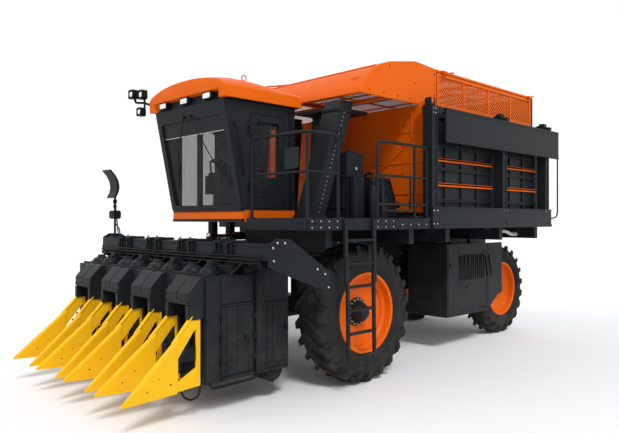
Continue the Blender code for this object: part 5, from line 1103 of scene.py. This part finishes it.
def make_front_wall():
    """Folds, a slanted brace, edge strips and the drain plate on the orange front wall."""
    y = 0.199
    shell = Shell().boxes([(-1.66, 1.66, y - 0.010, y + 0.004, z - 0.012, z + 0.012) for z in (2.42, 2.86, 3.30)])
    shell.boxes([(1.10, 1.56, y - 0.020, y + 0.004, 2.155, 2.36), (-1.56, -1.10, y - 0.020, y + 0.004, 2.155, 2.36)])
    shell.boxes([(1.655, 1.700, y - 0.030, y + 0.004, 2.155, 3.60), (-1.700, -1.655, y - 0.030, y + 0.004, 2.155, 3.60),
                 (1.44, 1.452, y - 0.012, y + 0.004, 2.37, 3.60), (-1.452, -1.44, y - 0.012, y + 0.004, 2.37, 3.60)])
    for side in (-1, 1):
        shell.plate("Y", [(side * 1.60, 3.26), (side * 1.60, 3.29), (side * 0.62, 2.60), (side * 0.62, 2.57)],
                    y - 0.016, y + 0.004)
    piece(shell, "front_wall_folds", "basket", "orange_gloss", bevel=0.003)
    holes = Shell()
    for x in (1.22, 1.44, -1.22, -1.44):
        holes.lathe([(-0.026, 0.0), (-0.026, 0.038), (-0.018, 0.045), (-0.010, 0.045), (-0.010, 0.0)], (x, y, 2.26),
                    "Y", 20)
    holes.bolts(at((-1.30, -0.9, 0.9, 1.30), y - 0.006, (3.1, 3.4, 2.7)), "-Y", 0.010, 0.006)
    piece(holes, "front_wall_holes", "basket", "black_plastic", smooth=30)


def make_flap():
    """The black flap: a folded sheet whose top and bottom hems are rows of small teeth."""
    shell = Shell().boxes([(1.936, 1.966, 0.285, 3.795, 3.128, 3.568), (1.931, 1.969, 0.285, 3.795, 3.545, 3.580),
                           (1.931, 1.969, 0.285, 3.795, 3.114, 3.140)])
    y = np.arange(0.30, 3.76, 0.072)
    for z0, z1 in ((3.111, 3.146), (3.540, 3.584)):
        shell.boxes(np.c_[np.full_like(y, 1.9285), np.full_like(y, 1.9695), y, y + 0.034, np.full_like(y, z0),
                          np.full_like(y, z1)])
    for y in LEFT_MASTS[1:]:
        shell.lathe([(-0.024, 0.0105), (-0.024, 0.018), (0.024, 0.018), (0.024, 0.0105)], (1.95, y, 3.625), "Y", 16)
        shell.boxes([(1.936, 1.964, y - 0.024, y + 0.024, 3.57, 3.612)])
    piece(shell, "unloading_flap", "unloading_lip", "dark_satin", ["unloading_lip"], bevel=0.002)


def make_masts():
    """Bolt rows, stiffeners and caps on the masts, the sill's seams and bright bolts, and the pipes at the back."""
    dark, bright = Shell(), Shell()
    for y in LEFT_MASTS:
        dark.boxes([(1.898, 1.912, y - 0.066, y - 0.040, 2.23, 3.58), (1.898, 1.912, y + 0.040, y + 0.066, 2.23, 3.58),
                    (1.898, 1.906, y - 0.04, y + 0.04, 2.40, 2.46), (1.898, 1.906, y - 0.04, y + 0.04, 3.00, 3.06)])
        dark.bolts(at(1.899, (y - 0.02, y + 0.02), np.arange(2.32, 3.5, 0.16)), "X", 0.009, 0.008)
        bright.bolts(at(1.899, (y - 0.03, y + 0.03), (3.50, 3.56)), "X", 0.010, 0.010)
        dark.lathe([(-0.075, 0.0), (-0.075, 0.036), (-0.060, 0.036), (-0.060, 0.0)], (TIP_PIN[0], y, TIP_PIN[1]), "Y",
                   16)
        dark.lathe([(0.060, 0.0), (0.060, 0.036), (0.075, 0.036), (0.075, 0.0)], (TIP_PIN[0], y, TIP_PIN[1]), "Y", 16)
    dark.boxes([(1.918, 1.930, 0.04, 3.59, 1.928, 1.960), (1.918, 1.930, 0.04, 3.59, 2.195, 2.222)])
    dark.boxes([(1.918, 1.926, 2.02, 2.14, 1.985, 2.03)])
    dark.plate("Y", [(1.86, 1.925), (1.93, 1.925), (1.93, 1.97), (1.86, 1.97)], 3.58, 3.60)
    bright.bolts(at(1.921, (0.06, 0.14), (1.99, 2.17)), "X", 0.010, 0.008)
    bright.bolts(at(1.921, (1.94, 2.06, 3.40, 3.54), 2.19), "X", 0.009, 0.008)
    dark.tube([(1.90, 3.56, 3.52), (1.91, 3.75, 3.55), (1.91, 3.87, 3.42), (1.91, 3.87, 2.10), (1.90, 3.58, 2.06)],
              0.013, 8, 0.10)
    dark.tube([(1.86, -0.03, 3.02), (1.86, 0.04, 3.02)], 0.017, 8)
    piece(dark, "mast_fittings", "chassis", "dark_satin", bevel=0.002, smooth=40)
    bright.tube([(1.60, 1.95, 1.90), (1.60, 2.15, 1.86), (1.60, 2.60, 1.86), (1.60, 2.75, 1.80), (1.60, 2.95, 1.81)],
                0.030, 10, 0.12)
    piece(bright, "mast_bright_bolts", "chassis", "worn_steel", smooth=30)
    right = Shell().boxes([(-1.969, -1.962, 0.05, 3.58, 1.930, 1.958), (-1.969, -1.962, 0.05, 3.58, 2.196, 2.222)])
    right.bolts(at(-1.965, np.arange(0.2, 3.5, 0.4), 2.08), "-X", 0.010, 0.004)
    piece(right, "sill_right_trim", "chassis", "black_plastic", bevel=0.002)


def make_basket():
    """The basket's pieces and those on its masts."""
    make_screen_finish("orange_screen_side", "Y", "Z")
    make_screen_finish("orange_screen_top", "X", "Y")
    make_hood()
    make_screens()
    make_wall_ribs()
    make_front_wall()
    make_flap()
    make_masts()


# ============================================================ deck
def make_ducts():
    """Corner strips, end collars and a dashed bright seam up the middle of each air duct's faces."""
    dark, bright = Shell(), Shell()
    z = line(2.14, 3.44, 24)
    for x, foot, head in DUCTS:
        def middle(height):
            return foot + (head - foot) * (height - 2.065) / 1.535
        for height, grow in ((2.085, 0.018), (3.47, 0.014)):
            y = middle(height)
            dark.window("Z", [(x - 0.142 - grow, y - 0.125 - grow), (x + 0.142 + grow, y - 0.125 - grow),
                              (x + 0.142 + grow, y + 0.125 + grow), (x - 0.142 - grow, y + 0.125 + grow)],
                        [(x - 0.139, y - 0.119), (x + 0.139, y - 0.119), (x + 0.139, y + 0.119),
                         (x - 0.139, y + 0.119)], height - 0.018, height + 0.018)
        for side in (-1, 1):
            for edge in (-0.112, 0.112):
                low, high = middle(2.11) + edge, middle(3.45) + edge
                dark.plate("X", [(low - 0.010, 2.11), (low + 0.010, 2.11), (high + 0.010, 3.45), (high - 0.010, 3.45)],
                           *sorted((x + side * 0.138, x + side * 0.144)))
            bright.bolts(np.c_[np.full(24, x + side * 0.1405), middle(z), z], "X" if side > 0 else "-X", 0.009, 0.004,
                         4)
    dark.tube([(1.283, -1.20, 2.95), (1.335, -1.19, 2.95), (1.335, -1.10, 3.22), (1.283, -1.10, 3.22)], 0.012, 10, 0.05)
    piece(dark, "duct_trim", "chassis", "dark_satin", bevel=0.002, smooth=40)
    piece(bright, "duct_seam_rivets", "chassis", "worn_steel")


def make_rails():
    """Round guard rails with bent corners, their feet, the shield plate, and the ladder with its lower section."""
    front, rear = Shell(), Shell()
    front.tube([(0.90, -2.25, 2.07), (0.90, -2.25, 3.02), (1.86, -2.25, 3.02), (1.86, -1.76, 3.02),
                (1.86, -1.76, 2.07)], 0.019, 12, 0.10)
    front.tube([(1.86, -2.25, 2.07), (1.86, -2.25, 3.00)], 0.018, 12)
    front.tube([(0.90, -2.25, 2.58), (1.86, -2.25, 2.58), (1.86, -1.76, 2.58)], 0.016, 12, 0.04)
    front.boxes([(x - 0.035, x + 0.035, y - 0.035, y + 0.035, 2.0655, 2.078) for x,
                 y in ((0.90, -2.245), (1.86, -2.245), (1.86, -1.76))])
    front.plate("Y", round_rect(1.50, 1.72, 2.62, 2.86, 0.04), -2.262, -2.240)
    piece(front, "front_guard", "chassis", "dark_satin", ["handrail_front"], smooth=50)
    rear.tube([(1.86, -1.06, 2.07), (1.86, -1.06, 3.02), (1.86, -0.03, 3.02), (1.86, -0.03, 2.07)], 0.019, 12, 0.10)
    rear.tube([(1.86, -0.30, 2.07), (1.86, -0.30, 3.00)], 0.018, 12)
    rear.tube([(1.86, -0.96, 2.16), (1.86, -0.96, 2.60), (1.86, -0.38, 2.60), (1.86, -0.38, 2.16), (1.86, -0.96, 2.16)],
              0.014, 10, 0.06)
    rear.tube([(1.86, -1.06, 2.60), (1.86, -0.03, 2.60)], 0.016, 12)
    rear.tube([(1.86, -1.06, 2.24), (1.86, -0.03, 2.24)], 0.016, 12)
    rear.boxes([(1.825, 1.895, y - 0.03, y + 0.03, 2.0655, 2.078) for y in (-1.06, -0.30, -0.035)])
    piece(rear, "rear_guard", "chassis", "dark_satin", ["handrail_rear"], smooth=50)

    steps = Shell()
    for y in LADDER_STILES:
        steps.plate("Y", [(1.9005, 2.055), (1.934, 2.055), (1.953, 1.30), (1.918, 1.30)], y - 0.025, y + 0.025)
        inset = 0.020 if y < -1.5 else -0.020
        steps.plate("Y", [(1.916, 1.46), (1.948, 1.46), (1.967, 0.40), (1.933, 0.40)], y + inset - 0.020,
                    y + inset + 0.020)
    for n in range(6):
        z = 0.46 + 0.27 * n
        x = 1.95 - 0.033 * (z - 0.40) / 1.655
        steps.boxes([(x - 0.019, x + 0.015, -1.69, -1.21, z - 0.018, z + 0.010)])
        y = line(-1.67, -1.24, 12)
        steps.boxes(np.c_[np.full(12, x - 0.019), np.full(12, x + 0.015), y, y + 0.016, np.full(12, z + 0.008),
                          np.full(12, z + 0.016)])
    steps.bolts(at(1.945, LADDER_STILES, (1.36, 1.42)), "X", 0.010, 0.008)
    piece(steps, "boarding_ladder", "chassis", "dark_satin", ["ladder"], bevel=0.002, smooth=40)


def make_deck_gear():
    """Treads, edge plates with bright bolts, the tank's boxes, cap and gauge, the fan housing's rim and hoses."""
    dark, bright = Shell(), Shell()
    dark.boxes([(1.898, 1.906, -2.275, -1.75, 1.93, 2.06), (1.898, 1.906, -1.15, -0.74, 1.93, 2.06),
                (1.898, 1.908, -0.70, -0.01, 1.93, 1.955),
                (1.898, 1.908, -0.70, -0.01, 2.035, 2.062), (0.85, 1.88, -2.288, -2.279, 1.93, 2.06)])
    y = np.arange(-2.22, -1.60, 0.06)
    dark.boxes(np.c_[np.full_like(y, 0.98), np.full_like(y, 1.82), y, y + 0.012, np.full_like(y, 2.064),
                     np.full_like(y, 2.070)])
    y = np.arange(-1.30, -0.10, 0.06)
    dark.boxes(np.c_[np.full_like(y, 1.42), np.full_like(y, 1.82), y, y + 0.012, np.full_like(y, 2.064),
                     np.full_like(y, 2.070)])
    dark.boxes([(0.885, 1.315, -1.010, -0.670, 2.60, 2.63), (0.885, 1.315, -1.010, -0.670, 2.08, 2.11),
                (0.94, 1.26, -1.016, -0.999, 2.20, 2.50),
                (1.299, 1.316, -0.96, -0.72, 2.20, 2.52), (1.34, 1.41, -0.98, -0.78, 2.066, 2.62),
                (1.37, 1.39, -0.99, -0.975, 2.10, 2.55)])
    dark.lathe([(2.928, 0.0), (2.928, 0.06), (2.965, 0.06), (2.975, 0.045), (2.975, 0.0)], (1.20, -0.84, 0.0), "Z", 24)
    dark.lathe([(2.0655, 0.0), (2.0655, 0.055), (2.48, 0.055), (2.50, 0.04), (2.50, 0.0)], (1.46, -0.66, 0.0), "Z", 24)
    dark.lathe([(2.0655, 0.0), (2.0655, 0.045), (2.36, 0.045), (2.37, 0.03), (2.37, 0.0)], (1.60, -0.62, 0.0), "Z", 24)
    outline = np.array([(-0.60, 2.10), (-0.60, 2.62), (-0.17, 2.62), (-0.05, 2.36), (-0.025, 2.10)])
    inner = outline.mean(axis=0) + (outline - outline.mean(axis=0)) * 0.86
    dark.window("X", outline, inner, 1.339, 1.352)
    dark.lathe([(1.338, 0.10), (1.338, 0.12), (1.352, 0.12), (1.352, 0.10)], (0, -0.34, 2.36), "X", 32)
    dark.boxes([(1.342, 1.350, -0.44, -0.24, 2.36 + dz - 0.006, 2.36 + dz + 0.006) for dz in (-0.06, -0.02, 0.02,
                                                                                              0.06)])
    dark.tube([(1.46, -0.66, 2.49), (1.46, -0.66, 2.58), (1.40, -0.60, 2.66), (1.20, -0.50, 2.68), (1.10, -0.45, 2.60)],
              0.020, 10, 0.06)
    dark.tube([(1.60, -0.62, 2.36), (1.60, -0.60, 2.46), (1.46, -0.56, 2.50), (1.33, -0.50, 2.48)], 0.014, 10, 0.05)
    piece(dark, "deck_fittings", "chassis", "dark_satin", bevel=0.002, smooth=40)
    bright.bolts(at(1.9055, np.r_[line(-2.22, -1.82, 4), line(-1.10, -0.80, 3)], (1.96, 2.03)), "X", 0.010, 0.006)
    bright.bolts(at(1.9075, line(-0.62, -0.10, 4), 1.985), "X", 0.012, 0.006)
    bright.bolts(at(1.316, (-0.94, -0.74), (2.24, 2.48)), "X", 0.009, 0.006)
    bright.lathe([(-0.004, 0.0), (-0.004, 0.022), (0.006, 0.022), (0.006, 0.0)], (1.318, -0.84, 2.72), "X", 20)
    piece(bright, "deck_bright_bolts", "chassis", "worn_steel", smooth=30)


def make_side_boxes():
    """Louvre lips with round ends, door seams, latches and hinges on the boxes under the deck."""
    for side, name in ((1, "left"), (-1, "right")):
        shell = Shell()

        def x(low, high):
            return sorted((side * low, side * high))
        for n in range(6):
            y = 1.64 + 0.125 * n
            shell.window("X", round_rect(y - 0.040, y + 0.040, 1.075, 1.495, 0.039),
                         round_rect(y - 0.028, y + 0.028, 1.090, 1.480, 0.027), *x(1.357, 1.372))
            shell.plate("X", round_rect(y - 0.026, y + 0.026, 1.092, 1.478, 0.025), *x(1.352, 1.3605))
        shell.window("X", round_rect(1.25, 2.39, 0.565, 1.03, 0.03), round_rect(1.262, 2.378, 0.577, 1.018, 0.03),
                     *x(1.358, 1.365))
        shell.window("X", round_rect(1.25, 1.56, 1.06, 1.63, 0.03), round_rect(1.262, 1.548, 1.072, 1.618, 0.03),
                     *x(1.358, 1.365))
        shell.boxes([(*x(1.358, 1.376), 1.30, 1.36, 1.30, 1.36), (*x(1.358, 1.376), 1.78, 1.90, 0.96, 0.99),
                     (*x(1.358, 1.364), 2.435, 2.445, 0.56, 1.64)])
        for z in (0.62, 1.52):
            shell.lathe([(2.30, 0.0), (2.30, 0.014), (2.38, 0.014), (2.38, 0.0)], (side * 1.362, 0.0, z), "Y", 12)
        a, b = x(0.66, 1.32)
        shell.window("Y", round_rect(a, b, 0.58, 1.08, 0.03), round_rect(a + 0.012, b - 0.012, 0.592, 1.068, 0.03),
                     1.213, 1.221)
        shell.window("Y", round_rect(a, b, 1.12, 1.61, 0.03), round_rect(a + 0.012, b - 0.012, 1.132, 1.598, 0.03),
                     1.213, 1.221)
        shell.boxes([(*x(0.95, 1.05), 1.204, 1.2205, 0.98, 1.01), (*x(0.95, 1.05), 1.204, 1.2205, 1.50, 1.53)])
        shell.bolts(at(side * 1.3605, (1.23, 2.41), line(0.60, 1.60, 6)), "X" if side > 0 else "-X", 0.009, 0.006)
        piece(shell, "side_box_doors_" + name, "chassis", "dark_satin", bevel=0.0015, smooth=40)


def make_engine_bay():
    """Pipes, belts and covers round the engine block, and the rails' bolts and the pipes along them."""
    shell = Shell().boxes([(0.385, 0.46, 1.30, 2.50, 1.00, 1.12), (-0.46, -0.385, 1.30, 2.50, 1.00, 1.12),
                           (-0.30, 0.30, 1.17, 1.205, 0.95, 1.38)])
    for z, r, x in ((1.05, 0.10, 0.0), (1.28, 0.07, 0.16), (1.30, 0.05, -0.18)):
        shell.lathe([(1.12, 0.0), (1.12, r), (1.135, r - 0.012), (1.15, r), (1.17, r), (1.17, 0.0)], (x, 0.0, z), "Y",
                    32)
    shell.tube([(0.42, 1.40, 1.20), (0.50, 1.60, 1.30), (0.50, 2.30, 1.34), (0.42, 2.45, 1.20)], 0.030, 12, 0.15)
    shell.tube([(-0.42, 1.40, 1.20), (-0.50, 1.60, 1.30), (-0.50, 2.30, 1.34), (-0.42, 2.45, 1.20)], 0.030, 12, 0.15)
    for x in (0.47, -0.47):
        shell.tube([(x, -1.70, 1.52), (x, -0.40, 1.50), (x, 0.80, 1.58), (x, 3.60, 1.58)], 0.014, 8, 0.2)
        shell.tube([(x, -1.70, 1.58), (x, -0.40, 1.56), (x, 0.80, 1.64), (x, 3.60, 1.64)], 0.012, 8, 0.2)
    piece(shell, "engine_bay_pipes", "chassis", "black_plastic", bevel=0.002, smooth=40)
    bolts = Shell()
    for x, axis in ((0.461, "X"), (-0.461, "-X")):
        bolts.bolts(at(x, np.arange(-1.8, 3.9, 0.38), (1.49, 1.71)), axis, 0.014, 0.010)
    piece(bolts, "rail_bolts", "chassis", "worn_steel")


def make_deck():
    """The pieces on the deck, the frame and the boxes under it."""
    make_ducts()
    make_rails()
    make_deck_gear()
    make_side_boxes()
    make_engine_bay()


# ============================================================ stage
CAMERA_AT = (6.704, -6.903, 2.05)
CAMERA_YAW = 45.94
CAMERA_PITCH = 0.283
CAMERA_LENS = 35.783


def make_stage():
    """Pale floor, white surroundings, two soft lamps and the camera."""
    scene = bpy.context.scene
    world = bpy.data.worlds.new("studio")
    scene.world = world
    world.use_nodes = True
    tree = world.node_tree
    tree.nodes.clear()
    out = tree.nodes.new("ShaderNodeOutputWorld")
    soft = tree.nodes.new("ShaderNodeBackground")
    soft.inputs["Color"].default_value = (0.93, 0.96, 1.0, 1)
    soft.inputs["Strength"].default_value = 0.62
    white = tree.nodes.new("ShaderNodeBackground")
    white.inputs["Color"].default_value = (1, 1, 1, 1)
    path = tree.nodes.new("ShaderNodeLightPath")
    seen = math_node(tree, "MAXIMUM", path.outputs["Is Camera Ray"],
                     math_node(tree, "MAXIMUM", path.outputs["Is Glossy Ray"], path.outputs["Is Transmission Ray"]))
    mixer = tree.nodes.new("ShaderNodeMixShader")
    tree.links.new(seen, mixer.inputs[0])
    tree.links.new(soft.outputs[0], mixer.inputs[1])
    tree.links.new(white.outputs[0], mixer.inputs[2])
    tree.links.new(mixer.outputs[0], out.inputs[0])

    reach = 60.0
    mesh = bpy.data.meshes.new("studio_floor")
    mesh.from_pydata([(-reach, -reach, 0), (reach, -reach, 0), (reach, reach, 0), (-reach, reach, 0)], [],
                     [(0, 1, 2, 3)])
    floor = bpy.data.objects.new("studio_floor", mesh)
    scene.collection.objects.link(floor)
    floor.location.z = -0.002
    material, tree, shader = new_material("floor_white")
    place = tree.nodes.new("ShaderNodeTexCoord").outputs["Object"]
    tree.links.new(mix_colour(tree, noise_node(tree, place, 0.4), (0.93, 0.93, 0.93), (0.95, 0.95, 0.95)),
                   shader.inputs["Base Color"])
    shader.inputs["Roughness"].default_value = 0.9
    mesh.materials.append(material)

    for name, energy, angle, turn in (("key_light", 1.9, 14, (42, 0, 62)), ("fill_light", 0.5, 40, (58, 0, -35))):
        light = bpy.data.lights.new(name, "SUN")
        light.energy = energy
        light.angle = math.radians(angle)
        lamp = bpy.data.objects.new(name, light)
        lamp.rotation_euler = [math.radians(a) for a in turn]
        scene.collection.objects.link(lamp)

    camera = bpy.data.cameras.new("camera")
    camera.sensor_width = 36.0
    camera.sensor_fit = "HORIZONTAL"
    camera.lens = CAMERA_LENS
    camera.clip_end = 200.0
    eye = bpy.data.objects.new("camera", camera)
    eye.location = CAMERA_AT
    eye.rotation_euler = (math.radians(90 + CAMERA_PITCH), 0, math.radians(CAMERA_YAW))
    scene.collection.objects.link(eye)
    scene.camera = eye
    scene.view_settings.view_transform = "Standard"


# ============================================================ operators
class PICKER_OT_finishes(bpy.types.Operator):
    """Make the materials and paint the frame's own nodes"""
    bl_idname = "picker.finishes"
    bl_label = "Finishes"

    def execute(self, context):
        make_finishes(context.scene.picker_finish)
        paint_nodes()
        return {"FINISHED"}


class PICKER_OT_wheels(bpy.types.Operator):
    """Make the tyres with their lugs, the rims, hubs and nuts"""
    bl_idname = "picker.wheels"
    bl_label = "Wheels"

    def execute(self, context):
        make_wheels(context.scene.picker_sizes)
        return {"FINISHED"}


class PICKER_OT_header(bpy.types.Operator):
    """Make the beam, picking units, dividers, hooks and mirror"""
    bl_idname = "picker.header"
    bl_label = "Header"

    def execute(self, context):
        make_header()
        return {"FINISHED"}


class PICKER_OT_cab(bpy.types.Operator):
    """Make the roof, window frames, lamps, wipers, seat and console"""
    bl_idname = "picker.cab"
    bl_label = "Cab"

    def execute(self, context):
        make_cab()
        return {"FINISHED"}


class PICKER_OT_basket(bpy.types.Operator):
    """Make the basket walls, screens, hood, flap and masts"""
    bl_idname = "picker.basket"
    bl_label = "Basket"

    def execute(self, context):
        make_basket()
        return {"FINISHED"}


class PICKER_OT_deck(bpy.types.Operator):
    """Make the ducts, rails, ladder, tanks, side boxes and frame fittings"""
    bl_idname = "picker.deck"
    bl_label = "Deck and chassis"

    def execute(self, context):
        make_deck()
        return {"FINISHED"}


class PICKER_OT_stage(bpy.types.Operator):
    """Make the floor, the lights and the camera"""
    bl_idname = "picker.stage"
    bl_label = "Stage"

    def execute(self, context):
        make_stage()
        return {"FINISHED"}


OPERATORS = (PICKER_OT_finishes, PICKER_OT_wheels, PICKER_OT_header, PICKER_OT_cab, PICKER_OT_basket, PICKER_OT_deck,
             PICKER_OT_stage)


class PICKER_PT_panel(bpy.types.Panel):
    """Lists the steps that make the machine"""
    bl_idname = "PICKER_PT_panel"
    bl_label = "Cotton Picker"
    bl_space_type = "VIEW_3D"
    bl_region_type = "UI"
    bl_category = "Picker"

    def draw(self, context):
        for group in (context.scene.picker_finish, context.scene.picker_sizes):
            for name in group.bl_rna.properties.keys():
                if name not in ("rna_type", "name"):
                    self.layout.prop(group, name)
        for operator in OPERATORS:
            self.layout.operator(operator.bl_idname)


CLASSES = (PICKER_PG_finish, PICKER_PG_sizes, *OPERATORS, PICKER_PT_panel)


def register():
    for item in CLASSES:
        bpy.utils.register_class(item)
    bpy.types.Scene.picker_finish = bpy.props.PointerProperty(type=PICKER_PG_finish)
    bpy.types.Scene.picker_sizes = bpy.props.PointerProperty(type=PICKER_PG_sizes)


def unregister():
    del bpy.types.Scene.picker_sizes
    del bpy.types.Scene.picker_finish
    for item in reversed(CLASSES):
        bpy.utils.unregister_class(item)


def main():
    register()
    for operator in OPERATORS:
        group, name = operator.bl_idname.split(".")
        getattr(getattr(bpy.ops, group), name)()


if __name__ == "__main__":
    main()
